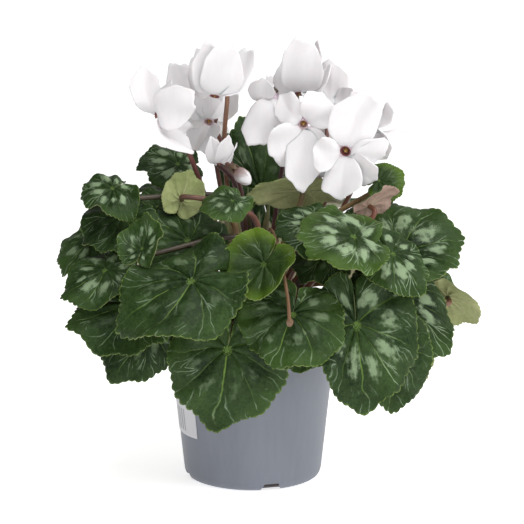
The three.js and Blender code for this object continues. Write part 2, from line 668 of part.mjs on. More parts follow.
// Peat fills the pot to just under its rim; its top is lumpy, and a plain hole takes the tuber.
function soilSolid(tuber) {
  const wall = POT_WALL + FIT_GAP;
  const foot = POT_FLOOR + FIT_GAP;
  const profile = [
    [0, foot],
    [POT_FOOT_RADIUS - POT_FOOT_ROUND - 0.5, foot],
    [POT_FOOT_RADIUS - wall - 0.1, POT_FOOT_ROUND + 1.6],
    [POT_NECK_RADIUS - wall - 0.3, POT_HEIGHT - POT_COLLAR_HEIGHT - 1],
    [POT_NECK_RADIUS - wall + 0.3, SOIL_TOP - 1],
    [POT_NECK_RADIUS * 0.72, SOIL_TOP + 1],
    [POT_NECK_RADIUS * 0.45, SOIL_TOP - 1],
    [0, SOIL_TOP],
  ].map(([r, z]) => new THREE.Vector2(r, z));
  const lathe = new THREE.LatheGeometry(profile, SOIL_SIDES).rotateX(Math.PI / 2);
  const position = lathe.attributes.position;
  for (let i = 0; i < position.count; i += 1) {
    const x = position.getX(i);
    const y = position.getY(i);
    if (position.getZ(i) > SOIL_TOP - 2 && Math.hypot(x, y) > 1) {
      const lump = Math.sin(x * 0.37 + 1) * Math.cos(y * 0.43) + 0.6 * Math.sin(x * 0.9 + y * 0.7);
      position.setZ(i, position.getZ(i) + 0.9 * lump);
    }
  }
  return solidOf(lathe).subtract(tuber);
}

// The round, slightly flattened tuber that carries every stalk.
function tuberSolid(growth) {
  const ball = new THREE.SphereGeometry(1, 10, 6).rotateX(Math.PI / 2);
  ball.scale(TUBER_RADIUS + growth, TUBER_RADIUS + growth, TUBER_HEIGHT + growth);
  return solidOf(ball.translate(0, 0, TUBER_CENTRE));
}

// ---- the object ----
const potted_cyclamen = new THREE.Group();

function addNode(name, geometry, colour, roughness) {
  const material = new THREE.MeshStandardMaterial({ color: colour, roughness, metalness: 0 });
  const mesh = new THREE.Mesh(geometry, material);
  mesh.name = name;
  potted_cyclamen.add(mesh);
}

const potBody = potSolid();
const blooms = BLOOMS.map(bloomOf);
const corollas = blooms.map(corollaSolid);
const blades = LEAVES.map(bladeOf);
const scapes = blooms.map((bloom) => scapeSolid(bloom, corollas));
const young = YOUNG_STALKS.map(youngStalkSolid);
const spent = spentSolid();
const bud = solidOf(budGeometry(BUD));
const budCalyx = calyxSolid(budStand(BUD));
const budScape = scapeSolid(budStand(BUD), [...corollas, bud]);
const settled = settleBlades(blades, [...corollas, bud, ...scapes, budScape, ...young, spent]);
const soil = soilSolid(tuberSolid(0.5));
const obstacles = [potBody, soil, ...corollas, ...settled];

addNode("pot", geometryOf(potBody), 0x8e939b, 0.5);

addNode("label", labelGeometry(), 0xcfd0d4, 0.6);
addNode("potting_soil", geometryOf(soil), 0x2e221a, 0.95);

let crown = tuberSolid(0);
blades.forEach((blade, i) => {
  crown = crown.add(petioleSolid(blade, obstacles, settled[i]));
});
blooms.forEach((bloom, i) => {
  crown = crown.add(scapes[i]);
  crown = crown.add(calyxSolid(bloom));
});
for (const stalk of [budScape, budCalyx, ...young, spent]) {
  crown = crown.add(stalk);
}
const crownParts = crown.decompose().sort((a, b) => b.volume() - a.volume());
addNode("crown", geometryOf(crownParts[0]), 0x6b4a35, 0.6);

blades.forEach((blade, i) => {
  addNode(blade.name, geometryOf(settled[i]), 0x3f6b42, 0.5);
});
blooms.forEach((bloom, i) => {
  addNode(bloom.name, geometryOf(corollas[i]), 0xf1f1f1, 0.55);
});
addNode("bud_01", geometryOf(bud), 0xe9dfdc, 0.55);

export default potted_cyclamen;
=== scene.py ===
import math

import bpy
import numpy as np
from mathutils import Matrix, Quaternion, Vector, noise
from mathutils.bvhtree import BVHTree


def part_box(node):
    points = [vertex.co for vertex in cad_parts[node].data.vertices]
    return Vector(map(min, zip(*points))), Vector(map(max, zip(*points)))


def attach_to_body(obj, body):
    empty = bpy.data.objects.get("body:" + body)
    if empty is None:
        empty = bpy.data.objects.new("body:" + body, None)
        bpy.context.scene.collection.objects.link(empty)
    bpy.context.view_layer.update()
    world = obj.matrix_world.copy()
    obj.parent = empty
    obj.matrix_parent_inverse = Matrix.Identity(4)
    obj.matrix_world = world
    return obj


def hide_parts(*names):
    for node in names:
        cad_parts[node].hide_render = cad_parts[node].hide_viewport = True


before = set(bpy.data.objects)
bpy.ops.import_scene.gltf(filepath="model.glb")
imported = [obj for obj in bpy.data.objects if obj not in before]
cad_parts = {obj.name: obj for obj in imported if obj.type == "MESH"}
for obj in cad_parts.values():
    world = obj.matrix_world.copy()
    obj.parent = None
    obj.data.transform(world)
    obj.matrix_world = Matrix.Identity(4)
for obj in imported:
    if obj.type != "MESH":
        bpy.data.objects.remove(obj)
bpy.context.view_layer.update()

# ---- The grow pot ----
# A thin-walled pot of grey recycled polypropylene, moulded in one shot: a tapered wall, a wide
# stacking collar under the rim, and drain slots cut up into the wall from the foot. The plant
# stands in it.
POT_SIDES = 224
WALL_FOOT = (48, 5)
WALL_TOP = (56.6, 85)
POT_PROFILE = [
    (0, 0), (43, 0), (46.6, 1.5), WALL_FOOT, WALL_TOP, (58.8, 86), (60, 107), (59.5, 108),
    (58.1, 108), (57.5, 88), (55.3, 85), (46.7, 6), (43, 2), (0, 2),
]
POT_CORNER = 1.6
SLOTS = 4
SLOT_FIRST = -74
SLOT_REACH = (38, 52)
SLOT_WIDTH = 17
SLOT_TOP_WIDTH = 10
SLOT_HEIGHT = 5.5
BOX_SIDES = ((3, 2, 1, 0), (4, 5, 6, 7), (0, 1, 5, 4), (1, 2, 6, 5), (2, 3, 7, 6), (3, 0, 4, 7))
POT_GREY = (0.185, 0.198, 0.235, 1)
POT_GREY_WORN = (0.21, 0.225, 0.262, 1)


def mesh_of(name, points, faces):
    """A mesh from points in millimetres."""
    mesh = bpy.data.meshes.new(name)
    mesh.from_pydata([tuple(0.001 * c for c in point) for point in points], [], faces)
    mesh.shade_smooth()
    return mesh


def held(name, data):
    """A mesh, a lamp or a camera as an object of the scene."""
    holder = bpy.data.objects.new(name, data)
    bpy.context.scene.collection.objects.link(holder)
    return holder


def piece(name, mesh, finish, slot, *nodes):
    """A finished piece: its one material, the nodes it stands for and its body. The slot argument
    is not used.
    """
    made = held(name, mesh)
    mesh.materials.clear()
    mesh.materials.append(finish)
    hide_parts(*nodes)
    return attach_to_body(made, "root")


def finished(holder):
    """The plain mesh that an object's modifiers make. The object goes."""
    graph = bpy.context.evaluated_depsgraph_get()
    mesh = bpy.data.meshes.new_from_object(holder.evaluated_get(graph), depsgraph=graph)
    bpy.data.objects.remove(holder)
    return mesh


def rounded(corners, radius, steps=4):
    """A profile with every corner eased."""
    path = [Vector(corners[0])]
    for before, corner, after in zip(corners, corners[1:], corners[2:]):
        a, b, c = Vector(before), Vector(corner), Vector(after)
        start = b + (a - b).normalized() * min(radius, (a - b).length * 0.45)
        end = b + (c - b).normalized() * min(radius, (c - b).length * 0.45)
        for i in range(steps + 1):
            t = i / steps
            path.append(start * (1 - t) ** 2 + b * 2 * t * (1 - t) + end * t * t)
    return path + [Vector(corners[-1])]


def lathe(profile, sides, bend=None):
    """Points and faces of a profile of (radius, height) turned about Z; radius 0 is a pole."""
    points = []
    rows = []
    for r, z in profile:
        if r < 1e-6:
            rows.append([len(points)] * sides)
            points.append((0, 0, z))
        else:
            rows.append([len(points) + i for i in range(sides)])
            for i in range(sides):
                turn = 2 * math.pi * i / sides
                points.append((r * math.cos(turn), r * math.sin(turn), z))
    faces = []
    for low, high in zip(rows, rows[1:]):
        for i in range(sides):
            k = (i + 1) % sides
            corners = [low[i], low[k], high[k], high[i]]
            faces.append([c for n, c in enumerate(corners) if c not in corners[:n]])
    if bend:
        points = [bend(Vector(point)) for point in points]
    return points, [face for face in faces if len(face) > 2]


def add(tree, kind, inputs=None, **settings):
    """A node with its settings and inputs; an input is a value or another node's socket."""
    made = tree.nodes.new(kind)
    for key, value in settings.items():
        setattr(made, key, value)
    for key, value in (inputs or {}).items():
        if isinstance(value, bpy.types.NodeSocket):
            tree.links.new(value, made.inputs[key])
        else:
            made.inputs[key].default_value = value
    return made


def maths(tree, kind, first, second=0.0, third=0.0):
    return add(tree, "ShaderNodeMath", {0: first, 1: second, 2: third}, operation=kind).outputs[0]


def remap(tree, value, low, high, to_low=0.0, to_high=1.0, **settings):
    """A value's range from low to high, stretched to another range."""
    ends = {0: value, 1: low, 2: high, 3: to_low, 4: to_high}
    return add(tree, "ShaderNodeMapRange", ends, **settings).outputs[0]


def clouds(tree, place, scale, detail=2.0):
    noisy = {"Vector": place, "Scale": scale, "Detail": detail}
    return add(tree, "ShaderNodeTexNoise", noisy).outputs["Fac"]


def blend(tree, share, first, second, **settings):
    """A colour between two; the settings can ask for another way of mixing them. The node's
    colour sockets are its sixth and seventh, after those for numbers and vectors."""
    colours = {0: share, 6: first, 7: second}
    return add(tree, "ShaderNodeMix", colours, data_type="RGBA", **settings).outputs[2]


def new_finish(name, **values):
    """A material and its Principled shader, with the shader's own constants set."""
    finish = bpy.data.materials.new(name)
    finish.use_nodes = True
    shader = finish.node_tree.nodes["Principled BSDF"]
    for key, value in values.items():
        shader.inputs[key.replace("_", " ")].default_value = value
    return finish, finish.node_tree, shader


def dress(tree, shader, colour, height, strength, depth):
    """Sends a colour to the shader, and a height to it as a bump."""
    bumped = {"Strength": strength, "Distance": depth, "Height": height}
    bump = add(tree, "ShaderNodeBump", bumped).outputs[0]
    tree.links.new(colour, shader.inputs["Base Color"])
    tree.links.new(bump, shader.inputs["Normal"])


def patchy(tree, shader, height, smooth, rough):
    """Roughness that follows the mottling."""
    tree.links.new(remap(tree, height, 0.3, 0.7, smooth, rough), shader.inputs["Roughness"])


def group_sockets(group, inputs, outputs):
    """Names a node group's sockets and returns its input and output nodes."""
    for side, sockets in (("INPUT", inputs), ("OUTPUT", outputs)):
        for name, (kind, value) in sockets.items():
            socket = group.interface.new_socket(name, in_out=side, socket_type=kind)
            if value is not None:
                socket.default_value = value
    return group.nodes.new("NodeGroupInput"), group.nodes.new("NodeGroupOutput")


def mottle_group():
    """Two scales of soft mottling between two colours, and the same as a height."""
    group = bpy.data.node_groups.new("mottle", "ShaderNodeTree")
    inlet, outlet = group_sockets(
        group,
        {
            "Colour": ("NodeSocketColor", (0.5, 0.5, 0.5, 1)),
            "Second": ("NodeSocketColor", (0.6, 0.6, 0.6, 1)),
            "Size": ("NodeSocketFloat", 60.0),
            "Stretch": ("NodeSocketVector", (1, 1, 1)),
        },
        {"Colour": ("NodeSocketColor", None), "Height": ("NodeSocketFloat", None)},
    )
    colour, second, size, stretch = list(inlet.outputs)[:4]
    place = add(group, "ShaderNodeTexCoord").outputs["Object"]
    drawn = add(group, "ShaderNodeVectorMath", {0: place, 1: stretch}, operation="MULTIPLY")
    broad = clouds(group, drawn.outputs[0], size, 4.0)
    fine = clouds(group, drawn.outputs[0], maths(group, "MULTIPLY", size, 9.0), 3.0)
    height = add(group, "ShaderNodeMix", {0: 0.35, 2: broad, 3: fine}).outputs[0]
    mixed = blend(group, remap(group, height, 0.35, 0.65), colour, second)
    group.links.new(mixed, outlet.inputs["Colour"])
    group.links.new(height, outlet.inputs["Height"])
    return group


mottle = mottle_group()


def mottled(tree, first, second, size, stretch=(1, 1, 1)):
    """The colour and the height of a mottling."""
    values = {"Colour": first, "Second": second, "Size": size, "Stretch": stretch}
    made = add(tree, "ShaderNodeGroup", values, node_tree=mottle)
    return made.outputs["Colour"], made.outputs["Height"]


def pot_mesh():
    """The turned pot with its drain slots cut through the foot of its wall."""
    points, faces = lathe(rounded(POT_PROFILE, POT_CORNER), POT_SIDES)
    holder = held("pot_wall", mesh_of("pot_wall", points, faces))
    section = [(-0.5 * SLOT_WIDTH, -1), (0.5 * SLOT_WIDTH, -1),
               (0.5 * SLOT_TOP_WIDTH, SLOT_HEIGHT), (-0.5 * SLOT_TOP_WIDTH, SLOT_HEIGHT)]
    corners = []
    sides = []
    for i in range(SLOTS):
        turn = math.radians(SLOT_FIRST + 360 / SLOTS * i)
        sides += [[len(corners) + c for c in side] for side in BOX_SIDES]
        corners += [(out * math.cos(turn) - y * math.sin(turn),
                     out * math.sin(turn) + y * math.cos(turn), z)
                    for out in SLOT_REACH for y, z in section]
    cutter = held("drain_slots", mesh_of("drain_slots", corners, sides))
    cut = holder.modifiers.new("slots", "BOOLEAN")
    cut.object = cutter
    cut.solver = "EXACT"
    mesh = finished(holder)
    bpy.data.objects.remove(cutter)
    mesh.set_sharp_from_angle(angle=math.radians(40))
    return mesh


def pot_plastic():
    finish, tree, shader = new_finish("pot_plastic", Specular_IOR_Level=0.2)
    flow, wear = mottled(tree, POT_GREY, POT_GREY_WORN, 30.0, (1, 1, 0.15))
    grain = clouds(tree, add(tree, "ShaderNodeTexCoord").outputs["Object"], 1400.0)
    dress(tree, shader, flow, grain, 0.12, 0.0004)
    patchy(tree, shader, wear, 0.36, 0.5)
    return finish


piece("grow_pot", pot_mesh(), pot_plastic(), "pot", "pot")

# ---- The sticker ----
# A paper label glued round the wall on the pot's left side: an off-white sheet, blank but for
# one field of plain grey rules, bent to the wall.
LABEL_FROM = -176
LABEL_TO = -137
LABEL_BASE = 34
LABEL_HEIGHT = 30
LABEL_THICKNESS = 0.3
LABEL_GAP = 0.3
LABEL_WHITE = (0.60, 0.60, 0.63, 1)
LABEL_SHADE = tuple(0.94 * c for c in LABEL_WHITE[:3]) + (1,)
RULE_GREY = (0.30, 0.31, 0.33, 1)
RULE_FIELD = (("X", 0.12, 0.62), ("Y", 0.1, 0.62))
RULE_PITCH = 0.055
RULE_GAP = 0.022


def sheet(mid, normal, thickness, pole=False):
    """A closed thin body about a grid of middle points: its points, its faces, and the places in
    the grid that its points stand for. With a pole the first row is one point."""
    rows, columns = mid.shape[:2]
    number = np.arange(rows * columns).reshape(rows, columns)
    if pole:
        number[1:] -= columns - 1
        number[0] = 0
    count = number[-1, -1] + 1
    keep = np.unique(number, return_index=True)[1]
    half = 0.5 * thickness[..., None] * normal
    upper = (mid + half).reshape(-1, 3)[keep]
    lower = (mid - half).reshape(-1, 3)[keep]
    a, b, c, d = number[:-1, :-1], number[:-1, 1:], number[1:, 1:], number[1:, :-1]
    quads = np.stack([a, b, c, d], axis=-1).reshape(-1, 4)
    border = [(number[-1, :-1], number[-1, 1:]), (number[:-1, 0], number[1:, 0]),
              (number[1:, -1], number[:-1, -1])]
    if not pole:
        border.append((number[0, 1:], number[0, :-1]))
    walls = np.concatenate([np.stack([p, q, q + count, p + count], axis=-1) for p, q in border])
    faces = np.concatenate([quads, quads[:, ::-1] + count, walls])
    cross = np.cross(mid[1:-1, 2:] - mid[1:-1, 1:-1], mid[2:, 1:-1] - mid[1:-1, 1:-1])
    if np.sum(cross * normal[1:-1, 1:-1]) < 0:
        faces = faces[:, ::-1]
    faces = [[v for n, v in enumerate(face) if v not in face[:n]] for face in faces.tolist()]
    return np.concatenate([upper, lower]), faces, keep


def sheet_mesh(name, mid, normal, thickness, u, v, pole=False):
    """A thin body as a mesh with a UV map of (u, v) and an "upper" attribute, 1 on its face."""
    points, faces, keep = sheet(mid, normal, thickness, pole)
    mesh = mesh_of(name, points, faces)
    flat = np.stack([u.reshape(-1)[keep], v.reshape(-1)[keep]], axis=-1)
    flat = np.concatenate([flat, flat])
    corner = np.zeros(len(mesh.loops), np.int32)
    mesh.loops.foreach_get("vertex_index", corner)
    mesh.uv_layers.new(name="flat").data.foreach_set("uv", flat[corner].reshape(-1))
    side = np.concatenate([np.ones(len(keep)), np.zeros(len(keep))])
    mesh.attributes.new("upper", "FLOAT", "POINT").data.foreach_set("value", side)
    return mesh


def grid_normals(mid):
    """Unit normals of a grid of points, by differences along its rows and columns."""
    normal = np.cross(np.gradient(mid, axis=0), np.gradient(mid, axis=1))
    return normal / np.maximum(np.linalg.norm(normal, axis=-1, keepdims=True), 1e-9)


def label_mesh():
    u, v = np.meshgrid(np.linspace(0, 1, 49), np.linspace(0, 1, 33))
    turn = np.radians(LABEL_FROM + (LABEL_TO - LABEL_FROM) * u)
    z = LABEL_BASE + LABEL_HEIGHT * v
    wall = np.interp(z, (WALL_FOOT[1], WALL_TOP[1]), (WALL_FOOT[0], WALL_TOP[0]))
    radius = wall + LABEL_GAP
    mid = np.stack([radius * np.cos(turn), radius * np.sin(turn), z], axis=-1)
    thickness = np.full(u.shape, LABEL_THICKNESS)
    return sheet_mesh("label", mid, -grid_normals(mid), thickness, u, v)


def label_paper():
    finish, tree, shader = new_finish("label_paper", Roughness=0.5)
    flat = add(tree, "ShaderNodeUVMap", uv_map="flat").outputs[0]
    axes = add(tree, "ShaderNodeSeparateXYZ", {0: flat}).outputs
    ruled = maths(tree, "GREATER_THAN", maths(tree, "PINGPONG", axes["X"], RULE_PITCH), RULE_GAP)
    for axis, low, high in RULE_FIELD:
        for kind, edge in (("GREATER_THAN", low), ("LESS_THAN", high)):
            ruled = maths(tree, "MULTIPLY", ruled, maths(tree, kind, axes[axis], edge))
    paper, _ = mottled(tree, LABEL_WHITE, LABEL_SHADE, 120.0)
    tree.links.new(blend(tree, ruled, paper, RULE_GREY), shader.inputs["Base Color"])
    return finish


piece("pot_label", label_mesh(), label_paper(), "label", "label")

# ---- The peat ----
# Moist peat fills the pot to just under its rim. It was pressed in loose round the tuber, so
# its top is lumpy and scattered with crumbs.
PEAT_PROFILE = [
    (0, 2.3), (42.5, 2.3), (46.3, 6.6), (54.7, 85), (55.2, 94), (50, 95.4), (44, 96), (38, 95.7),
    (32, 95), (26, 94), (20, 94), (14, 94.5), (8, 95), (0, 95),
]
PEAT_SIDES = 120
PEAT_DARK = (0.020, 0.013, 0.009, 1)
PEAT_BROWN = (0.065, 0.042, 0.026, 1)
PEAT_TOP = 93.5
CRUMB_DENSITY = 90000.0
CRUMB_RADIUS = 0.0011
CRUMB_LEAST = (0.4, 0.3, 0.2)
CRUMB_MOST = (1.9, 1.2, 0.9)
CRUMB_SPIN = (6.28, 6.28, 6.28)


def peat_lump(point):
    """Raises and sinks a point of the peat's top."""
    if point.z < PEAT_TOP:
        return point
    lump = 1.3 * noise.noise(point * 0.09) + 0.9 * noise.noise(point * 0.3)
    return point + Vector((0, 0, lump))


def real_mesh(tree, shape, skin, outlet):
    """Ends a tree: its shape made real and given its material."""
    real = add(tree, "GeometryNodeRealizeInstances", {0: shape})
    painted = add(tree, "GeometryNodeSetMaterial", {"Geometry": real.outputs[0], "Material": skin})
    tree.links.new(painted.outputs[0], outlet.inputs["Mesh"])


def crumb_tree():
    """Scatters crumbs over the faces that look up, and keeps the ground they lie on."""
    tree = bpy.data.node_groups.new("peat_crumbs", "GeometryNodeTree")
    inlet, outlet = group_sockets(
        tree,
        {
            "Ground": ("NodeSocketGeometry", None),
            "Density": ("NodeSocketFloat", CRUMB_DENSITY),
            "Crumb Radius": ("NodeSocketFloat", CRUMB_RADIUS),
            "Seed": ("NodeSocketInt", 5),
            "Peat": ("NodeSocketMaterial", None),
        },
        {"Mesh": ("NodeSocketGeometry", None)},
    )
    ground, density, radius, seed, skin = list(inlet.outputs)[:5]
    normal = add(tree, "GeometryNodeInputNormal").outputs[0]
    facing = add(tree, "ShaderNodeSeparateXYZ", {0: normal}).outputs["Z"]
    points = add(tree, "GeometryNodeDistributePointsOnFaces",
                 {"Mesh": ground, "Selection": maths(tree, "GREATER_THAN", facing, 0.6),
                  "Density": density, "Seed": seed}).outputs["Points"]
    crumb = add(tree, "GeometryNodeMeshIcoSphere", {"Radius": radius, "Subdivisions": 1})
    size = add(tree, "FunctionNodeRandomValue",
               {"Min": CRUMB_LEAST, "Max": CRUMB_MOST, "Seed": seed}, data_type="FLOAT_VECTOR")
    spin = add(tree, "FunctionNodeRandomValue",
               {"Min": (0, 0, 0), "Max": CRUMB_SPIN, "Seed": 11}, data_type="FLOAT_VECTOR")
    crumbs = add(tree, "GeometryNodeInstanceOnPoints",
                 {"Points": points, "Instance": crumb.outputs["Mesh"],
                  "Scale": size.outputs[0], "Rotation": spin.outputs[0]})
    both = add(tree, "GeometryNodeJoinGeometry")
    tree.links.new(ground, both.inputs[0])
    tree.links.new(crumbs.outputs[0], both.inputs[0])
    real_mesh(tree, both.outputs[0], skin, outlet)
    return tree


def run_tree(name, mesh, tree, **values):
    """The plain mesh a node tree makes from a mesh, its inputs set by their sockets."""
    holder = held(name, mesh)
    grower = holder.modifiers.new(name, "NODES")
    grower.node_group = tree
    for item in tree.interface.items_tree:
        key = item.name.replace(" ", "_").lower()
        if item.in_out == "INPUT" and key in values:
            grower[item.identifier] = values[key]
    holder.update_tag()
    return finished(holder)


def peat():
    finish, tree, shader = new_finish("moist_peat", Roughness=0.92)
    clod, height = mottled(tree, PEAT_DARK, PEAT_BROWN, 160.0)
    dress(tree, shader, clod, height, 0.8, 0.001)
    return finish


peat_finish = peat()
ground = mesh_of("peat", *lathe(PEAT_PROFILE, PEAT_SIDES, peat_lump))
crumbed = run_tree("peat_fill", ground, crumb_tree(), peat=peat_finish)
piece("peat_fill", crumbed, peat_finish, "potting_soil", "potting_soil")

# ---- The leaves ----
# Heart-shaped, leathery blades on their own stalks, laid over one another in a dome. Each is
# dark green with silver blotches between its veins, a finely toothed margin and a pale or
# reddish underside.
BLADE_SWEEP = 3.1
BLADE_TEETH = 48
BLADE_RINGS = 18
BLADE_THICKNESS = 0.75
BLADE_POLE = 0.03
VEIN_SPACING = 0.76
TURN_SPAN = 7
TOOTH_DEPTH = 0.042
SCALLOP_DEPTH = 0.022
PILLOW_HEIGHT = 4.6
GROOVE_DEPTH = 1.0
CRUMPLE_HEIGHT = 0.5
EDGE_WAVE_HEIGHT = 1.9
BROAD_WAVE_HEIGHT = 1.6
RIB_THICKNESS = 0.5
OLD_GREENS = ((0.004, 0.013, 0.003, 1), (0.031, 0.062, 0.015, 1))
FRESH_GREENS = ((0.065, 0.125, 0.008, 1), (0.150, 0.235, 0.016, 1))
MIDDLING_GREEN = (0.065, 0.130, 0.020, 1)
NET_GREEN = (0.10, 0.18, 0.08, 1)
SILVER_GREEN = (0.29, 0.39, 0.23, 1)
FORK_GREEN = (0.32, 0.42, 0.28, 1)
VEIN_GREEN = (0.16, 0.26, 0.055, 1)
MARGIN_GREEN = (0.17, 0.26, 0.05, 1)
OLIVE_UNDERSIDE = ((0.20, 0.24, 0.09, 1), (0.32, 0.35, 0.16, 1))
ROSY_UNDERSIDE = ((0.32, 0.21, 0.17, 1), (0.45, 0.33, 0.27, 1))
UNDERSIDE_VEIN = (0.42, 0.40, 0.24, 1)

# number, where the stalk meets it, tip, the way its upper face looks; then width, lean, droop,
# roll, wave, phase, folds, how silvery it is, how light its green is and how red its underside.
# The lean widens one half, the droop bends it along its length, the roll bends it across, and
# the wave is the height of its folds as a share of its width.
LEAVES = [
    (7, (8, -82, 164), (-13, -100, 148), (0.1, -0.55, 0.85),
     54, 0, -1, -1, 0.03, 0, 5, 0, 0.87, 0.0),
    (1, (-34, -98, 157), (-81, -106, 128), (-0.3, -0.72, 0.62),
     74, 0.02, 0.5, 0.4, 0.2, -1.57, 4, 0.28, 0.3, 0.2),
    (5, (25, -94, 134), (16, -101, 99), (-0.1, -0.9, 0.45),
     74, 0, 0.3, 0.5, 0.12, 1.2, 4, 0.35, 0.55, 0.2),
    (2, (-17, -84, 109), (-27, -80, 54), (-0.05, -1, 0.12),
     82, 0.02, 0.25, 0.35, 0.05, 1, 5, 0.3, 0.4, 0.2),
    (3, (67, -92, 126), (70, -92, 66), (0.05, -1, 0.25),
     70, 0.12, 0.3, 0.35, 0.06, 0.5, 5, 0.6, 0.25, 0.2),
    (4, (66, -92, 183), (29, -100, 182), (-0.1, -0.6, 0.8),
     62, -0.04, 0.4, 0.35, 0.07, 2, 5, 1, 0.72, 0.2),
    (6, (-12, -72, 203), (-25, -84, 191), (-0.1, -0.65, 0.75),
     36, -0.12, 0.5, 0.5, 0.14, 1.5, 3, 0.6, 0.65, 0.1),
    (8, (-71, -84, 165), (-68, -77, 186), (-0.4, -0.8, 0.4),
     34, 0, -0.6, -0.8, 0.14, 2, 4, 0.7, 0.5, 0.1),
    (9, (-79, -70, 135), (-120, -78, 120), (-0.2, -0.8, 0.6),
     56, 0.12, 0.25, 0.3, 0.06, 1, 5, 0.2, 0.4, 0.2),
    (10, (-67, -66, 121), (-95, -66, 81), (-0.2, -0.95, 0.2),
     56, 0, 0.25, 0.3, 0.06, 0, 5, 0.5, 0.25, 0.2),
    (11, (-42, -70, 175), (-72, -52, 190), (-0.2, -0.5, 0.85),
     62, 0, 0.3, 0.3, 0.06, 0, 5, 0.35, 0.15, 0.2),
    (12, (-95, -66, 156), (-122, -74, 136), (-0.4, -0.75, 0.5),
     44, 0, 0.3, 0.5, 0.18, 1, 5, 0.6, 0.4, 0.3),
    (13, (-108, -26, 174), (-126, -38, 147), (-0.6, -0.65, 0.4),
     54, -0.05, 0.4, 0.5, 0.08, 1, 5, 0.5, 0.5, 0.3),
    (14, (-91, -54, 209), (-109, -62, 199), (-0.25, -0.6, 0.75),
     52, 0, 0.4, 0.6, 0.14, 0, 3, 0.8, 0.45, 0.3),
    (15, (-85, -46, 185), (-111, -54, 167), (-0.3, -0.65, 0.7),
     58, 0, 0.3, 0.3, 0.05, 0, 5, 0.2, 0.2, 0.3),
    (16, (99, -56, 167), (140, -40, 175), (0.15, -0.7, 0.7),
     72, 0.1, 0.35, 0.35, 0.1, 0.5, 4, 0.7, 0.5, 0.2),
    (17, (91, -74, 169), (110, -84, 144), (0.2, -0.7, 0.7),
     44, -0.05, 0.35, 0.4, 0.08, 0, 5, 0.8, 0.45, 0.2),
    (18, (98, -58, 140), (130, -60, 98), (0.3, -0.9, 0.4),
     62, -0.06, 0.35, 0.4, 0.08, 0, 5, 0.8, 0.35, 0.3),
    (19, (98, -44, 98), (117, -42, 77), (-0.3, 0.8, 0.5),
     46, 0, 0.2, 0.3, 0.05, 0, 5, 0.4, 0.4, 0.0),
    (20, (89, -70, 107), (93, -66, 63), (0.1, -1, 0.2),
     54, 0.05, 0.2, 0.2, 0.04, 1, 5, 0.3, 0.35, 0.2),
    (21, (132, -26, 132), (154, -20, 112), (-0.2, 0.75, 0.6),
     30, 0, 0.4, 0.8, 0.1, 0, 5, 0.3, 0.5, 0.1),
    (22, (129, -20, 140), (141, -22, 123), (0.3, -0.6, 0.7),
     26, 0, 0.4, 0.6, 0.1, 0, 5, 0.3, 0.65, 0.2),
    (23, (40, -64, 187), (16, -72, 180), (-0.3, -0.7, 0.6),
     48, 0.05, 0.3, 0.4, 0.08, 0, 5, 0.7, 0.25, 0.2),
    (24, (48, -62, 168), (33, -76, 150), (-0.2, -0.6, 0.75),
     46, 0, 0.3, 0.5, 0.05, 0, 5, 0.3, 0.1, 0.2),
    (25, (76, -44, 195), (97, -36, 204), (-0.1, 0.7, 0.7),
     30, 0, 0.3, 0.5, 0.05, 0, 5, 0.4, 0.5, 1.0),
    (26, (86, -10, 208), (103, -4, 213), (0, -0.7, 0.7),
     36, 0, 0.4, 0.5, 0.08, 0, 5, 0.1, 0.85, 0.3),
    (27, (84, -38, 177), (102, -4, 190), (0.2, -0.4, 0.9),
     56, 0, 0.2, 0.3, 0.06, 0, 5, 0.7, 0.3, 0.2),
    (28, (33, -66, 115), (30, -68, 89), (0, -1, 0.15),
     60, 0, 0.2, 0.3, 0.05, 0, 5, 0, 0.5, 0.2),
    (29, (-50, -6, 219), (-78, -12, 217), (-0.05, -0.65, 0.75),
     43, -0.03, 0.4, 0.4, 0.08, 0, 5, 1, 0.3, 0.3),
    (30, (-56, 6, 200), (-82, 4, 201), (0, -0.1, 2),
     46, 0, 0.3, 0.3, 0.04, 0, 5, 0.4, 0.3, 0.8),
    (31, (-47, -42, 197), (-40, -36, 216), (0.15, 0.9, 0.4),
     30, 0, 0.4, 0.6, 0.08, 0, 5, 0.4, 0.5, 0.0),
    (32, (-63, -34, 194), (-82, -28, 198), (-0.2, -0.5, 0.85),
     40, 0, 0.2, 0.4, 0.08, 0, 5, 0.4, 0.3, 0.3),
    (33, (6, 42, 195), (-7, 58, 245), (0, -0.85, 0.5),
     60, 0, 0.2, 0.3, 0.05, 0, 5, 0.35, 0.15, 0.3),
    (34, (34, -36, 205), (-3, -44, 202), (0.05, 0.85, 0.5),
     28, 0, 0.4, 0.5, 0.06, 0, 5, 0.4, 0.3, 0.1),
    (35, (58, 60, 152), (86, 96, 102), (0.5, 0.6, 0.4),
     76, 0, 0.4, 0.3, 0.08, 0, 4, 0.6, 0.35, 0.4),
    (36, (16, 70, 160), (26, 118, 112), (0.1, 0.9, 0.5),
     76, 0, 0.4, 0.3, 0.08, 1, 4, 0.5, 0.3, 0.4),
    (37, (-37, 78, 159), (-63, 114, 120), (-0.3, 0.8, 0.5),
     74, 0, 0.4, 0.3, 0.08, 2, 4, 0.7, 0.4, 0.4),
    (38, (-78, 44, 150), (-116, 66, 122), (-0.6, 0.5, 0.6),
     70, 0, 0.4, 0.3, 0.08, 3, 5, 0.6, 0.3, 0.4),
    (39, (104, 26, 140), (140, 36, 108), (0.8, 0.3, 0.5),
     66, 0, 0.4, 0.3, 0.08, 4, 5, 0.5, 0.4, 0.4),
    (40, (50, 46, 186), (82, 66, 178), (0.2, 0.4, 0.9),
     58, 0, 0.3, 0.2, 0.06, 5, 5, 0.7, 0.35, 0.4),
    (41, (-30, 54, 186), (-50, 88, 174), (-0.1, 0.5, 0.9),
     58, 0, 0.3, 0.2, 0.06, 0, 5, 0.6, 0.3, 0.4),
]


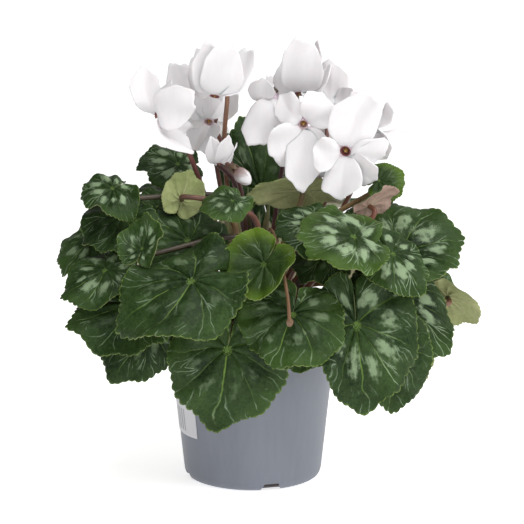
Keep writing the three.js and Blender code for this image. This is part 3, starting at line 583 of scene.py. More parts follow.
def heart_radius(turn):
    """How far the heart's outline lies from the stalk's end, at a turn from the tip."""
    lobe = np.maximum(0, (np.abs(turn) - 2.3) / 0.7)
    return 0.8 + 0.11 * np.cos(turn) + 0.09 * np.exp(-((turn / 0.2) ** 2)) - 0.2 * lobe * lobe


class Blade:
    """A blade's own axes and bends, as the plant's model sets them out."""

    def __init__(self, row):
        (self.number, attach, tip, facing, self.width, self.lean, self.droop, self.roll, self.wave,
         self.phase, self.folds, self.silver, self.light, self.red) = row
        self.name = f"leaf_{self.number:02d}"
        self.attach = np.array(attach, float)
        chord = np.array(tip, float) - self.attach
        reach = np.linalg.norm(chord)
        along = chord / reach
        up = np.array(facing, float)
        up -= along * up.dot(along)
        up /= np.linalg.norm(up)
        half = self.droop / 2
        self.length = reach / (math.sin(half) / half)
        self.ahead = along * math.cos(half) + up * math.sin(half)
        self.normal = up * math.cos(half) - along * math.sin(half)
        self.side = np.cross(self.normal, self.ahead)

    def surface(self, turn, share, tooth=0.0, ripple=0.0):
        """Points at turns from the tip and shares of the way out, bent as the blade is."""
        reach = heart_radius(turn) * (1 + tooth) * share
        x = self.length * reach * np.cos(turn)
        half = self.width * (0.5 + self.lean * np.sign(turn))
        y = (half / 0.82) * reach * np.sin(turn)
        bend = self.droop / self.length
        bow = 2 * self.roll / self.width
        ahead = np.where(x > 0, np.sin(bend * x) / bend, x)
        rise = np.where(x > 0, -(1 - np.cos(bend * x)) / bend, 0.0)
        side = np.sin(bow * y) / bow
        rise = rise - (1 - np.cos(bow * y)) / bow
        fold = 0.5 * self.wave * self.width * np.sin(self.folds * turn + self.phase)
        rise = rise + fold * share**3 + ripple
        return (self.attach + ahead[..., None] * self.ahead + side[..., None] * self.side
                + rise[..., None] * self.normal)


def settled(row):
    """A blade moved to where its node lies, as the blades of the model slide clear."""
    blade = Blade(row)
    turns = np.linspace(-BLADE_SWEEP, BLADE_SWEEP, 17)
    rings = [blade.surface(turns, np.full(17, share)) for share in (1, 0.66)]
    points = np.concatenate([*rings, [blade.attach]])
    low, high = 1000 * np.array(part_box(blade.name))
    blade.attach += 0.5 * (low + high) - 0.5 * (points.min(0) + points.max(0))
    return blade


def leaf_mesh(blade):
    """A blade pillowed between its veins, toothed at its edge and ribbed underneath."""
    spokes = 4 * BLADE_TEETH + 1
    shares = np.concatenate([[0.0], (np.arange(1, BLADE_RINGS + 1) / BLADE_RINGS) ** 0.85])
    turn, share = np.meshgrid(np.linspace(-BLADE_SWEEP, BLADE_SWEEP, spokes), shares)
    phase = 1.7 * blade.number
    sway = 0.07 * np.sin(5.5 * share + 1.3 * turn + phase) + 0.02 * np.sin(19 * share + 7 * turn)
    vein_turn = turn + 0.14 * np.sin(2 * turn + phase) + sway * share + 0.36 * np.sin(turn) * share
    off = vein_turn / VEIN_SPACING
    between = np.cos(2 * np.pi * off)
    stem = np.abs(off - np.round(off)) * VEIN_SPACING * share

    notch = np.abs(np.sin(np.pi * np.arange(spokes) / 4))[None, :]
    uneven = 0.7 + 0.3 * np.sin(3.1 * turn + phase)
    tooth = (TOOTH_DEPTH * (notch - 0.55) * uneven) * share**14 + SCALLOP_DEPTH * between * share**4
    ripple = PILLOW_HEIGHT * 0.5 * (1 - between) * share * (1.15 - share)
    ripple -= GROOVE_DEPTH * np.exp(-((stem / 0.02) ** 2)) * (1.1 - share)
    crumple = np.sin(13 * turn + 9 * share + phase) * np.sin(10 * share + phase)
    ripple += CRUMPLE_HEIGHT * crumple * share
    ripple += EDGE_WAVE_HEIGHT * share**4 * np.sin(9 * turn + 2 * phase)
    broad = np.sin(4 * turn + 3 * phase) * np.sin(5 * share + phase)
    ripple = (ripple + BROAD_WAVE_HEIGHT * share * share * broad) * blade.width / 70

    mid = blade.surface(turn, share, tooth, ripple)
    normal = grid_normals(blade.surface(turn, np.maximum(share, BLADE_POLE), ripple=ripple))
    if np.sum(normal * blade.normal) < 0:
        normal = -normal
    normal[0] = normal[1].mean(0) / np.linalg.norm(normal[1].mean(0))
    thickness = BLADE_THICKNESS * (1 - 0.5 * share**6)
    thickness += RIB_THICKNESS * np.exp(-((stem / 0.03) ** 2)) * (1 - share)
    flat_turn = vein_turn / TURN_SPAN + 0.5
    mesh = sheet_mesh(blade.name, mid, normal, thickness, flat_turn, share, True)
    habit = [blade.silver, blade.light, blade.red, (0.37 * blade.number) % 1]
    habits = mesh.attributes.new("habit", "FLOAT_COLOR", "POINT")
    habits.data.foreach_set("color", np.tile(habit, len(mesh.vertices)))
    return mesh


def ramp(tree, value, low, high):
    """0 where the value is at low, 1 where it is at high, eased between."""
    return remap(tree, value, low, high, interpolation_type="SMOOTHSTEP")


def leaf_marking_group():
    """From a place on the blade, masks of the main veins, their pale forks, the silver blotches
    between them, the margin and the fine net. Every fork has its own start and slant."""
    group = bpy.data.node_groups.new("leaf_marking", "ShaderNodeTree")
    inlet, outlet = group_sockets(
        group,
        {"Place": ("NodeSocketVector", (0, 0, 0)), "Silver": ("NodeSocketFloat", 0.5),
         "Seed": ("NodeSocketFloat", 0.0)},
        {name: ("NodeSocketFloat", None) for name in ("Main", "Forks", "Silver", "Margin", "Net")},
    )
    place, silvery, seed = list(inlet.outputs)[:3]
    axes = add(group, "ShaderNodeSeparateXYZ", {0: place}).outputs
    share = axes["Y"]
    spot = add(group, "ShaderNodeTexCoord").outputs["Object"]

    def calculator(kind):
        return lambda *values: maths(group, kind, *values)

    plus, less, times, over = map(calculator, ("ADD", "SUBTRACT", "MULTIPLY", "DIVIDE"))
    scaled, most, absolute = map(calculator, ("MULTIPLY_ADD", "MAXIMUM", "ABSOLUTE"))

    def combined(*values):
        return add(group, "ShaderNodeCombineXYZ", dict(enumerate(values))).outputs[0]

    def chances(*values):
        """Three random numbers that belong to the given ones."""
        white = add(group, "ShaderNodeTexWhiteNoise", {"Vector": combined(*values)},
                    noise_dimensions="3D").outputs["Color"]
        return add(group, "ShaderNodeSeparateColor", {0: white}).outputs[:3]

    def unsteady(place, scale, detail=2.0):
        return less(clouds(group, place, scale, detail), 0.5)

    def eased(value, low, high):
        return ramp(group, value, low, high)

    # The turn about the stalk's end, cut into cells with a main vein in the middle of each.
    bend = times(unsteady(spot, 70.0), 0.3)
    turn = scaled(less(axes["X"], 0.5), TURN_SPAN, times(bend, share))
    blur = times(unsteady(spot, 300.0, 3.0), 0.02)
    step = over(turn, VEIN_SPACING)
    cell = maths(group, "ROUND", step)
    signed = less(step, cell)
    off = times(absolute(signed), VEIN_SPACING)

    def line(distance, width):
        return eased(plus(times(distance, share), blur), width, 0.3 * width)

    def beyond(start):
        return most(0.0, less(share, start))

    # A main vein throws a fork to either side, and the more slanting forks throw a twig.
    start, slant, later = chances(cell, maths(group, "SIGN", signed), seed)
    fork_from = scaled(start, 0.3, 0.22)
    fork = less(off, times(beyond(fork_from), scaled(slant, 0.5, 0.3)))
    twig_from = plus(fork_from, scaled(later, 0.2, 0.12))
    twig = less(absolute(fork), times(beyond(twig_from), 0.45))
    bold = most(scaled(later, 0.7, 0.25), less(1.0, absolute(cell)))
    main = times(times(line(off, 0.019), bold), eased(share, 1.0, 0.25))
    forks = times(line(absolute(fork), 0.015), eased(share, fork_from, plus(fork_from, 0.08)))
    twigs = times(line(absolute(twig), 0.012), eased(share, twig_from, plus(twig_from, 0.06)))
    twigs = times(twigs, maths(group, "GREATER_THAN", slant, 0.45))
    outer = times(line(off, 0.014), eased(share, 0.35, 0.6))
    forks = most(most(forks, twigs), outer)
    forks = times(forks, eased(clouds(group, spot, 85.0), 0.44, 0.60))

    # A torn, brushed blotch of silver lies half way out between two main veins.
    sector = maths(group, "FLOOR", step)
    middle = less(less(step, sector), 0.5)
    depth, extent, strength = chances(sector, seed, 3.0)
    away = times(less(share, scaled(depth, 0.12, 0.46)), 0.72)
    across = times(times(middle, VEIN_SPACING), share)
    reach = maths(group, "SQRT", plus(times(away, away), times(across, across)))
    near = less(1.0, over(reach, scaled(extent, 0.06, 0.10)))
    brushed = combined(times(turn, 9.0), times(share, 5.0), times(seed, 9.0))
    torn = scaled(unsteady(brushed, 1.0, 4.0), 1.5, near)
    torn = scaled(unsteady(spot, 170.0, 4.0), 2.6, torn)
    shown = times(silvery, scaled(strength, 0.7, 0.65))
    blotch = eased(plus(torn, times(shown, 0.6)), 0.35, 1.15)
    blotch = times(blotch, eased(shown, 0.1, 0.6))

    margin = eased(plus(share, blur), 0.975, 0.996)
    margin = times(margin, eased(clouds(group, spot, 700.0), 0.35, 0.6))
    cells = add(group, "ShaderNodeTexVoronoi", {"Vector": spot, "Scale": 330.0},
                feature="DISTANCE_TO_EDGE").outputs["Distance"]
    net = eased(cells, 0.1, 0.0)
    for socket, value in zip(outlet.inputs, (main, forks, blotch, margin, net)):
        group.links.new(value, socket)
    return group


def leaf_skin():
    finish, tree, shader = new_finish("leaf_skin", Specular_IOR_Level=0.12)
    habit = add(tree, "ShaderNodeAttribute", attribute_name="habit").outputs
    silver, light, red = add(tree, "ShaderNodeSeparateColor", {0: habit["Color"]}).outputs[:3]
    upper = add(tree, "ShaderNodeAttribute", attribute_name="upper").outputs["Fac"]
    place = add(tree, "ShaderNodeUVMap", uv_map="flat").outputs[0]
    share = add(tree, "ShaderNodeSeparateXYZ", {0: place}).outputs["Y"]
    marks = add(tree, "ShaderNodeGroup",
                {"Place": place, "Silver": silver, "Seed": habit["Alpha"]},
                node_tree=leaf_marking_group()).outputs

    def marked(ground, name, strength, colour):
        return blend(tree, maths(tree, "MULTIPLY", marks[name], strength), ground, colour)

    def by_silver(more, least):
        return maths(tree, "MULTIPLY_ADD", silver, more, least)

    old, height = mottled(tree, *OLD_GREENS, 42.0)
    yellowish, _ = mottled(tree, *FRESH_GREENS, 45.0)
    fresh = blend(tree, ramp(tree, light, 0.6, 1.0), MIDDLING_GREEN, yellowish)
    outward = maths(tree, "MULTIPLY_ADD", ramp(tree, share, 0.5, 0.98), 0.93, 0.07)
    youth = maths(tree, "MULTIPLY", maths(tree, "MULTIPLY", light, light), outward)
    green = blend(tree, youth, old, fresh)
    green = marked(green, "Net", 0.10, NET_GREEN)
    green = marked(green, "Silver", by_silver(0.5, 0.37), SILVER_GREEN)
    green = marked(green, "Forks", by_silver(0.4, 0.3), FORK_GREEN)
    green = marked(green, "Main", 0.85, VEIN_GREEN)
    green = marked(green, "Margin", 0.7, MARGIN_GREEN)

    olive, _ = mottled(tree, *OLIVE_UNDERSIDE, 50.0)
    rosy, _ = mottled(tree, *ROSY_UNDERSIDE, 50.0)
    under = marked(blend(tree, red, olive, rosy), "Main", 0.5, UNDERSIDE_VEIN)
    relief = maths(tree, "MULTIPLY_ADD", marks["Net"], -0.3, height)
    relief = maths(tree, "MULTIPLY_ADD", marks["Forks"], -0.7, relief)
    dress(tree, shader, blend(tree, upper, under, green), relief, 0.4, 0.0007)
    patchy(tree, shader, height, 0.34, 0.5)
    return finish


blades = [settled(row) for row in LEAVES]
leaf_finish = leaf_skin()
for blade in blades:
    piece(blade.name + "_blade", leaf_mesh(blade), leaf_finish, "leaf", blade.name)

# ---- The tuber ----
# A flattened, corky brown tuber half buried in the peat. It is one solid growth, and every
# stalk of the plant springs from its crown.
TUBER_RADIUS = 22
TUBER_HEIGHT = 15
TUBER_CENTRE = 87
CORK_DARK = (0.045, 0.026, 0.018, 1)
CORK_LIGHT = (0.14, 0.085, 0.055, 1)


def tuber_mesh():
    arc = [math.pi * (i / 48 - 0.5) for i in range(1, 48)]
    profile = [(TUBER_RADIUS * math.cos(a), TUBER_HEIGHT * math.sin(a)) for a in arc]

    def corky(point):
        rough = 1 + 0.03 * noise.noise(point * 0.12) - 0.03 * abs(noise.noise(point * 0.5))
        return point * rough + Vector((0, 0, TUBER_CENTRE))

    return mesh_of("tuber", *lathe([(0, -TUBER_HEIGHT), *profile, (0, TUBER_HEIGHT)], 96, corky))


def cork():
    finish, tree, shader = new_finish("tuber_cork", Roughness=0.85)
    bark, height = mottled(tree, CORK_DARK, CORK_LIGHT, 120.0)
    dress(tree, shader, bark, height, 0.6, 0.0008)
    return finish


piece("tuber", tuber_mesh(), cork(), "crown", "crown")

# ---- The leaf stalks ----
# Fleshy round stalks, red-brown at the foot and greener under the blade. They leave the tuber
# in three rings, bend round one another and meet the underside of each blade square on.
ROOT_RINGS = (16.5, 12.5, 8.5)
PETIOLE_RADIUS = 1.85
STALK_POINTS = 36
STALK_SIDES = 10
FOOT_TINTS = [(0.05, 0.030, 0.020), (0.24, 0.09, 0.065), (0.30, 0.20, 0.09), (0.20, 0.08, 0.06)]
HEAD_TINTS = [(0.13, 0.085, 0.04), (0.19, 0.19, 0.07), (0.045, 0.05, 0.02), (0.12, 0.06, 0.035)]
DARK_STALKS = (8, 14)
STREAKS = ((0.62, 0.58, 0.55, 1), (1.25, 1.2, 1.15, 1))


def root_at(azimuth, out):
    """A stalk's foot, a little under the tuber's surface."""
    drop = TUBER_HEIGHT * math.sqrt(1 - (out / TUBER_RADIUS) ** 2)
    return Vector((out * math.cos(azimuth), out * math.sin(azimuth), TUBER_CENTRE + drop - 2))


def smooth_path(knots, count):
    """A centripetal curve through the knots, at even steps of its parameter."""
    ends = [2 * knots[0] - knots[1], *knots, 2 * knots[-1] - knots[-2]]
    path = []
    for k in range(count + 1):
        t = (len(knots) - 1) * k / count
        i = min(int(t), len(knots) - 2)
        w = t - i
        p0, p1, p2, p3 = ends[i:i + 4]
        d0, d1, d2 = (max(1e-3, (b - a).length) ** 0.5 for a, b in ((p0, p1), (p1, p2), (p2, p3)))
        m1 = ((p1 - p0) / d0 - (p2 - p0) / (d0 + d1) + (p2 - p1) / d1) * d1
        m2 = ((p2 - p1) / d1 - (p3 - p1) / (d1 + d2) + (p3 - p2) / d2) * d1
        path.append(p1 + m1 * w + (3 * (p2 - p1) - 2 * m1 - m2) * w * w
                    + (2 * (p1 - p2) + m1 + m2) * w * w * w)
    return path


def crown_surface():
    """The crown node's surface, to find which way each stalk was bent clear."""
    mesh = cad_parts["crown"].data
    points = [1000 * v.co for v in mesh.vertices]
    return BVHTree.FromPolygons(points, [tuple(face.vertices) for face in mesh.polygons])


crown = crown_surface()


def depth_in_crown(knots, steps):
    """How far outside the crown's surface the least sunk of a path's places lies."""
    path = smooth_path(knots, 160)
    run = np.cumsum([0] + [(b - a).length for a, b in zip(path, path[1:])])
    worst = -1e9
    for k in range(1, steps):
        place = path[int(np.searchsorted(run, run[-1] * k / steps))]
        near, normal, _, distance = crown.find_nearest(place)
        outside = distance if (place - near).dot(normal) > 0 else -distance
        worst = max(worst, outside)
    return worst


def petiole_knots(blade, sway):
    """From the tuber, by a middle point swayed aside, square on to the blade's underside."""
    attach, normal = Vector(blade.attach), Vector(blade.normal)
    root = root_at(math.atan2(attach.y, attach.x), ROOT_RINGS[blade.number % 3])
    lift = max(14, (attach.z - root.z) * 0.5 + 5)
    middle = root + Vector(((attach.x - root.x) * 0.38, (attach.y - root.y) * 0.38, lift))
    end = attach - normal
    return [root, middle + Vector(sway), end - 6 * normal, end]


def sways():
    """The bends a leaf stalk tries, from none to wide ones."""
    yield (0, 0, 0)
    for reach in (7, 14, 21, 28, 35):
        for turn in range(8):
            x, y = reach * math.cos(turn * math.pi / 4), reach * math.sin(turn * math.pi / 4)
            for lift in (0, -reach, reach):
                yield (x, y, lift)


def likeliest(candidates, steps):
    """The first path that lies inside the crown node, or else the one that comes nearest."""
    best = None
    for knots in candidates:
        outside = depth_in_crown(knots, steps)
        if best is None or outside < best[0]:
            best = (outside, knots)
        if outside < -0.5:
            break
    return best[1]


def stalk_tree():
    """Sweeps a round section of each point's own girth along the edges of a wire."""
    tree = bpy.data.node_groups.new("stalk_sweep", "GeometryNodeTree")
    inlet, outlet = group_sockets(
        tree,
        {"Wire": ("NodeSocketGeometry", None), "Sides": ("NodeSocketInt", STALK_SIDES),
         "Skin": ("NodeSocketMaterial", None)},
        {"Mesh": ("NodeSocketGeometry", None)},
    )
    wire, sides, skin = list(inlet.outputs)[:3]
    paths = add(tree, "GeometryNodeMeshToCurve", {"Mesh": wire}).outputs[0]
    section = add(tree, "GeometryNodeCurvePrimitiveCircle", {"Resolution": sides, "Radius": 1.0})
    girth = add(tree, "GeometryNodeInputNamedAttribute", {"Name": "girth"}, data_type="FLOAT")
    swept = add(tree, "GeometryNodeCurveToMesh",
                {"Curve": paths, "Profile Curve": section.outputs[0],
                 "Scale": girth.outputs[0], "Fill Caps": True})
    soft = add(tree, "GeometryNodeSetShadeSmooth", {0: swept.outputs[0]})
    real_mesh(tree, soft.outputs[0], skin, outlet)
    return tree


def paint(mesh, tints):
    """Gives every point of a mesh its tint."""
    tint = mesh.attributes.new("tint", "FLOAT_COLOR", "POINT")
    tint.data.foreach_set("color", [c for colour in tints for c in (*colour, 1)])


def wire_mesh(name, stalks):
    """Wires for stalks, each a list of (point, girth, tint)."""
    points, girths, tints = zip(*[row for stalk in stalks for row in stalk])
    edges = []
    first = 0
    for stalk in stalks:
        edges += [(first + i, first + i + 1) for i in range(len(stalk) - 1)]
        first += len(stalk)
    mesh = bpy.data.meshes.new(name)
    mesh.from_pydata([tuple(0.001 * c for c in point) for point in points], edges, [])
    girth = mesh.attributes.new("girth", "FLOAT", "POINT")
    girth.data.foreach_set("value", [0.001 * g for g in girths])
    paint(mesh, tints)
    return mesh


def mixed_tint(first, second, share):
    return [a + (b - a) * share for a, b in zip(first, second)]


def stalk(knots, radius, foot, head, count=STALK_POINTS, girths=(1.1, 0.9)):
    """A stalk's rows of point, girth and tint; the girths are shares of the radius along it."""
    rows = []
    for i, point in enumerate(smooth_path(knots, count)):
        t = i / count
        share = np.interp(t, np.linspace(0, 1, len(girths)), girths)
        rows.append((point, radius * share, mixed_tint(foot, head, t * t)))
    return rows


def stalk_skin():
    finish, tree, shader = new_finish("stalk_skin", Roughness=0.42, Subsurface_Weight=0.08,
                                      Subsurface_Radius=(0.003, 0.001, 0.0006))
    tint = add(tree, "ShaderNodeAttribute", attribute_name="tint").outputs["Color"]
    streak, height = mottled(tree, *STREAKS, 140.0, (1, 1, 0.12))
    streaked = blend(tree, 1.0, tint, streak, blend_type="MULTIPLY")
    dress(tree, shader, streaked, height, 0.25, 0.0004)
    return finish


stalk_finish = stalk_skin()
stalk_sweep = stalk_tree()


def stalk_piece(name, stalks):
    """Sweeps some of the crown's stalks into one piece."""
    mesh = run_tree(name, wire_mesh(name, stalks), stalk_sweep, skin=stalk_finish)
    piece(name, mesh, stalk_finish, "crown", "crown")


stalks = []
for blade in blades:
    knots = likeliest((petiole_knots(blade, sway) for sway in sways()), 4)
    foot, head = blade.number % 4, (blade.number + blade.number // 4) % 4
    if blade.number in DARK_STALKS:
        foot, head = 0, 2
    stalks.append(stalk(knots, PETIOLE_RADIUS, FOOT_TINTS[foot], HEAD_TINTS[head]))
stalk_piece("leaf_stalks", stalks)

# ---- The young leaves ----
# The newest leaves stand upright in the heart of the plant, still furled round their stalk's
# end like a rolled umbrella.
YOUNG_TOPS = [(-28, -26, 192), (-20, -30, 196), (-11, -32, 192), (-3, -18, 205), (5, -32, 190),
              (12, -18, 198)]
YOUNG_GREEN = (0.14, 0.20, 0.07)
FURLED_GIRTHS = [1, 0.95, 0.9, 0.85, 0.8, 0.75, 0.75, 1.05, 1.15, 0.7, 0.1]

stalks = []
for top in YOUNG_TOPS:
    end = Vector(top)
    root = root_at(math.atan2(end.y, end.x), 6)
    middle = Vector((end.x * 0.45, end.y * 0.5, (root.z + end.z) / 2))
    knots = [root, middle, end]
    stalks.append(stalk(knots, PETIOLE_RADIUS, FOOT_TINTS[1], YOUNG_GREEN, 48, FURLED_GIRTHS))
stalk_piece("furled_leaves", stalks)

# ---- The flower stalks and calyces ----
# Each flower stands on its own stalk, which hooks over at the top and enters a green-brown
# calyx of five pointed sepals pressed to the flower's tube.
SCAPE_RADIUS = 1.6
TUBE_LENGTH = 7
SEPAL_TINT = (0.10, 0.065, 0.035)

# name, mouth, the way the mouth faces, its petals, a point the stalk passes, and the stalk's
# tints at foot and head. A petal is its tip, its width and its turn about its own length.
BLOOMS = [
    ("corolla_01", (-64, -30, 254), (-1, -0.3, -0.15), [
        (-74, -28, 287, 19, 1.4), (-36, -44, 266, 26, 0.3), (-39, -36, 230, 24, 0.9),
        (-41, -12, 245, 16, 0.5), (-54, -10, 277, 16, 0.5)],
     (-42, -20, 227), (0.14, 0.04, 0.035), (0.30, 0.12, 0.09)),
    ("corolla_02", (-30, 6, 247), (-0.2, -0.75, -0.6), [
        (-52, 4, 289, 27, 0.2), (-40, 14, 291, 26, 0.4), (-31, -10, 229, 20, 0.2),
        (-21, 22, 276, 16, 0.5), (-56, 20, 262, 16, 0.5)],
     (-27, 26, 226), (0.12, 0.05, 0.04), (0.16, 0.09, 0.05)),
    ("corolla_03", (-25, -26, 267), (-0.15, -0.35, -0.9), [
        (-14, -41, 303, 27, 0.1), (-27, -42, 303, 24, 0.3), (-37, -22, 298, 20, 0.5),
        (-1, -14, 298, 21, 1), (-22, -4, 298, 20, 0.5)],
     (-19, -12, 230), (0.20, 0.09, 0.05), (0.36, 0.20, 0.10)),
    ("corolla_04", (14, -2, 262), (-0.3, -0.35, -0.9), [
        (2, -24, 233, 26, 0.1), (25, -16, 243, 17, 0.2), (5, -8, 278, 19, 0.4),
        (12, 20, 279, 14, 0.4), (30, 16, 263, 12, 0.4)],
     (22, 12, 226), (0.08, 0.03, 0.03), (0.07, 0.03, 0.03)),
    ("corolla_05", (32, -4, 267), (-0.1, -0.4, -0.9), [
        (36, -22, 306, 27, 0), (53, -6, 287, 22, 0.9), (20, -4, 289, 20, 0.4),
        (42, 13, 302, 18, 0.4), (26, 12, 299, 16, 0.4)],
     (35, 10, 216), (0.12, 0.06, 0.03), (0.20, 0.11, 0.05)),
    ("corolla_06", (34, -34, 249), (0, -0.95, -0.25), [
        (50, -28, 267, 27, 0.1), (34, -48, 206, 23, 0), (13, -38, 226, 26, 0.1),
        (50, -34, 213, 23, 0.1), (18, -20, 267, 18, 0.2)],
     (41, 0, 208), (0.13, 0.07, 0.03), (0.22, 0.12, 0.05)),
    ("corolla_07", (61, -52, 233), (-0.25, -0.9, -0.3), [
        (73, -42, 272, 31, 0), (89, -40, 232, 25, 0.1), (80, -48, 212, 22, 0.1),
        (58, -58, 202, 25, 0.1), (39, -56, 231, 22, 0.2)],
     (57, -16, 212), (0.12, 0.05, 0.03), (0.28, 0.12, 0.08)),
    ("corolla_08", (82, 2, 241), (0.2, -0.6, -0.7), [
        (104, 4, 241, 13, 1.0), (92, 14, 259, 18, 0.9), (68, 10, 267, 20, 0.3),
        (76, 28, 242, 16, 0.4), (90, 4, 221, 18, 0.3)],
     (73, 14, 210), (0.12, 0.05, 0.03), (0.20, 0.12, 0.06)),
    ("corolla_09", (-22, -28, 222), (-0.1, -0.3, -0.9), [
        (-27, -35, 241, 11, 0.3), (-16, -38, 242, 11, 0.3), (-10, -28, 236, 10, 0.4),
        (-15, -17, 238, 9, 0.4), (-29, -20, 236, 9, 0.4)],
     (-11, -10, 205), (0.07, 0.03, 0.03), (0.07, 0.03, 0.03)),
    ("corolla_10", (55, 52, 252), (0.3, 0.8, -0.4), [
        (55, 58, 287, 24, 0.2), (72, 46, 266, 19, 0.2), (67, 60, 222, 19, 0.2),
        (42, 62, 222, 19, 0.2), (36, 50, 266, 19, 0.2)],
     (48, 22, 212), (0.14, 0.05, 0.04), (0.22, 0.10, 0.06)),
    ("corolla_11", (-31, 60, 244), (-0.3, 0.8, -0.5), [
        (-33, 64, 281, 24, 0.2), (-50, 54, 262, 19, 0.2), (-44, 64, 223, 19, 0.2),
        (-20, 68, 223, 19, 0.2), (-12, 58, 264, 19, 0.2)],
     (-15, 26, 215), (0.14, 0.05, 0.04), (0.20, 0.09, 0.06)),
]
# The blooms with a pale throat, and how far apart the two layers of a bloom's petals lie.
PALE_THROATED = ("corolla_02", "corolla_06")
LAYERED = {"corolla_03": 3}
BUD_BASE, BUD_TIP, BUD_VIA = (-11, -44, 220), (-1, -48, 211), (-7, -26, 200)
BUD_STALK_TINTS = ((0.10, 0.04, 0.035), (0.12, 0.05, 0.04))
CALYX_PROFILE = [(0, -4.2), (1.5, -4), (2.3, -3.2), (2.9, -2), (3.3, -0.6), (3.5, 0.4),
                 (3.2, 0.5), (2.9, -0.8), (2.3, -2.2), (0, -2.6)]


class Bloom:
    """A flower's mouth, the way it faces, where its calyx sits, whether its throat is pale and
    how far back every other petal lies."""

    def __init__(self, row):
        self.name, mouth, facing, self.petals, via, self.foot, self.head = row
        self.mouth = Vector(mouth)
        self.axis = Vector(facing).normalized()
        self.via = Vector(via)
        self.radius = 1.2 + self.petals[0][3] / 13
        self.pale = self.name in PALE_THROATED
        self.layer = LAYERED.get(self.name, 0)
        self.calyx = self.mouth - self.axis * (TUBE_LENGTH + 0.3)

    def scape_knots(self, turn, reach):
        """From the tuber, past a set point, over in a hook and into the calyx from behind."""
        side = self.via - self.calyx
        side = (side - self.axis * side.dot(self.axis)).normalized()
        side.rotate(Quaternion(self.axis, turn))
        over = self.calyx + side * reach + self.axis
        behind = self.calyx + side * reach / 2 - self.axis * 7
        root = root_at(math.atan2(self.via.y, self.via.x), 4.5)
        return [root, self.via, over, behind, self.calyx - self.axis * 2.5]

    def scape(self):
        """The hook is tried at turns to either side of the straight one, in three widths."""
        ways = ((1 if step % 2 == 0 else -1, math.ceil(step / 2), reach)
                for reach in (8, 6, 12) for step in range(24))
        return likeliest((self.scape_knots(sign * count * 0.26, reach)
                          for sign, count, reach in ways), 6)


def bud_bloom():
    """The bud's stand, as a flower whose mouth lies a tube's length along it."""
    base, tip = Vector(BUD_BASE), Vector(BUD_TIP)
    axis = (tip - base).normalized()
    mouth = base + axis * TUBE_LENGTH
    petals = [(0, 0, 0, 14, 0)]
    return Bloom(("bud_01", mouth, axis, petals, BUD_VIA, *BUD_STALK_TINTS))


def stand_along(points, axis, place):
    """Turns points made about Z so that Z is the axis, and sets them at a place."""
    turn = Vector((0, 0, 1)).rotation_difference(axis)
    return [place + turn @ Vector(point) for point in points]


def swollen(point, swell):
    return Vector((point.x * swell, point.y * swell, point.z))


def calyx_body(bloom):
    """A closed cup with five pointed sepals, opening toward the flower."""
    def sepal(point):
        fold = math.cos(5 * math.atan2(point.y, point.x))
        share = max(0.0, (point.z + 4) / 4)
        point.z += 1.5 * share * share * fold
        return swollen(point, 1 + 0.07 * share * fold)

    points, faces = lathe(CALYX_PROFILE, 40, sepal)
    return stand_along(points, bloom.axis, bloom.calyx), faces, [SEPAL_TINT] * len(points)


def joined(name, bodies):
    """One mesh of several bodies, each points, faces and a tint for every point."""
    points, faces, tints = [], [], []
    for body_points, body_faces, body_tints in bodies:
        faces += [[len(points) + v for v in face] for face in body_faces]
        points += list(body_points)
        tints += list(body_tints)
    mesh = mesh_of(name, points, faces)
    paint(mesh, tints)
    return mesh


flowers = [Bloom(row) for row in BLOOMS]
heads = [*flowers, bud_bloom()]
stalk_piece("flower_stalks", [stalk(head.scape(), SCAPE_RADIUS, head.foot, head.head, 64)
                              for head in heads])
piece("calyces", joined("calyces", map(calyx_body, heads)), stalk_finish, "crown", "crown")

# ---- The spent flower ----
# One flower has dropped its petals: its thin brown stalk arches over the front leaves and
# hangs, with a shrivelled calyx at its end.
SPENT_KNOTS = [(6, -22, 150), (12, -62, 183), (18, -88, 170), (23, -104, 144), (24, -106, 130)]
SPENT_GIRTHS = [1.05, 1, 0.95, 0.9, 0.95, 1.0, 1.1]
SPENT_TINTS = ((0.10, 0.05, 0.025), (0.165, 0.088, 0.04))
HUSK_PROFILE = [(0, -3), (1.2, -2.7), (2.1, -1.6), (2.5, 0), (2.2, 1.5), (1.2, 2.6), (0, 3)]
HUSK_TINT = (0.17, 0.10, 0.055)

knots = [root_at(-1, 5), *map(Vector, SPENT_KNOTS)]
stalk_piece("spent_stalk", [stalk(knots, 0.7 * SCAPE_RADIUS, *SPENT_TINTS, 64, SPENT_GIRTHS)])


def husk_body():
    """The dry calyx, dented between its five ribs."""
    def shrivelled(point):
        turn = math.atan2(point.y, point.x)
        dent = 0.22 * abs(math.sin(2.5 * turn)) * math.sin(math.pi * (point.z + 3.4) / 6.8)
        return swollen(point, 1 - dent + 0.12 * noise.noise(point * 0.8))

    points, faces = lathe(rounded(HUSK_PROFILE, 0.6, 2), 40, shrivelled)
    husk = [Vector(SPENT_KNOTS[-1]) + point for point in points]
    return husk, faces, [HUSK_TINT] * len(husk)


piece("spent_calyx", joined("spent_calyx", [husk_body()]), stalk_finish, "crown", "crown")

# ---- The flowers ----
# Nodding flowers whose five broad white petals turn right back over the mouth and twist a
# little like a pinwheel. The short tube's throat is stained purple-brown round the yellow
# cone of anthers.
PETAL_ROWS = 32
PETAL_COLUMNS = 21
PETAL_PLAN = ((0, 0.15, 0.3, 0.45, 0.6, 0.8, 0.92, 1),
              (0.16, 0.5, 0.8, 0.98, 1.06, 1.08, 1.02, 0.92))
PETAL_THICKNESS = 0.6
TIP_ROUNDING = 0.21
CREASE_DEPTH = 0.3
EDGE_RUFFLE = 0.12
TIP_RUFFLE = 0.09
PETAL_CELLS = ((0.95, 0.95, 0.96, 1), (1.0, 1.0, 1.0, 1))
PETAL_WHITE = (0.785, 0.77, 0.775)
PETAL_BLUSH = (0.72, 0.60, 0.67)
THROAT_STAIN = (0.24, 0.09, 0.09)
PALE_THROAT = (0.60, 0.44, 0.46)
ANTHER_GOLD = (0.42, 0.25, 0.08)


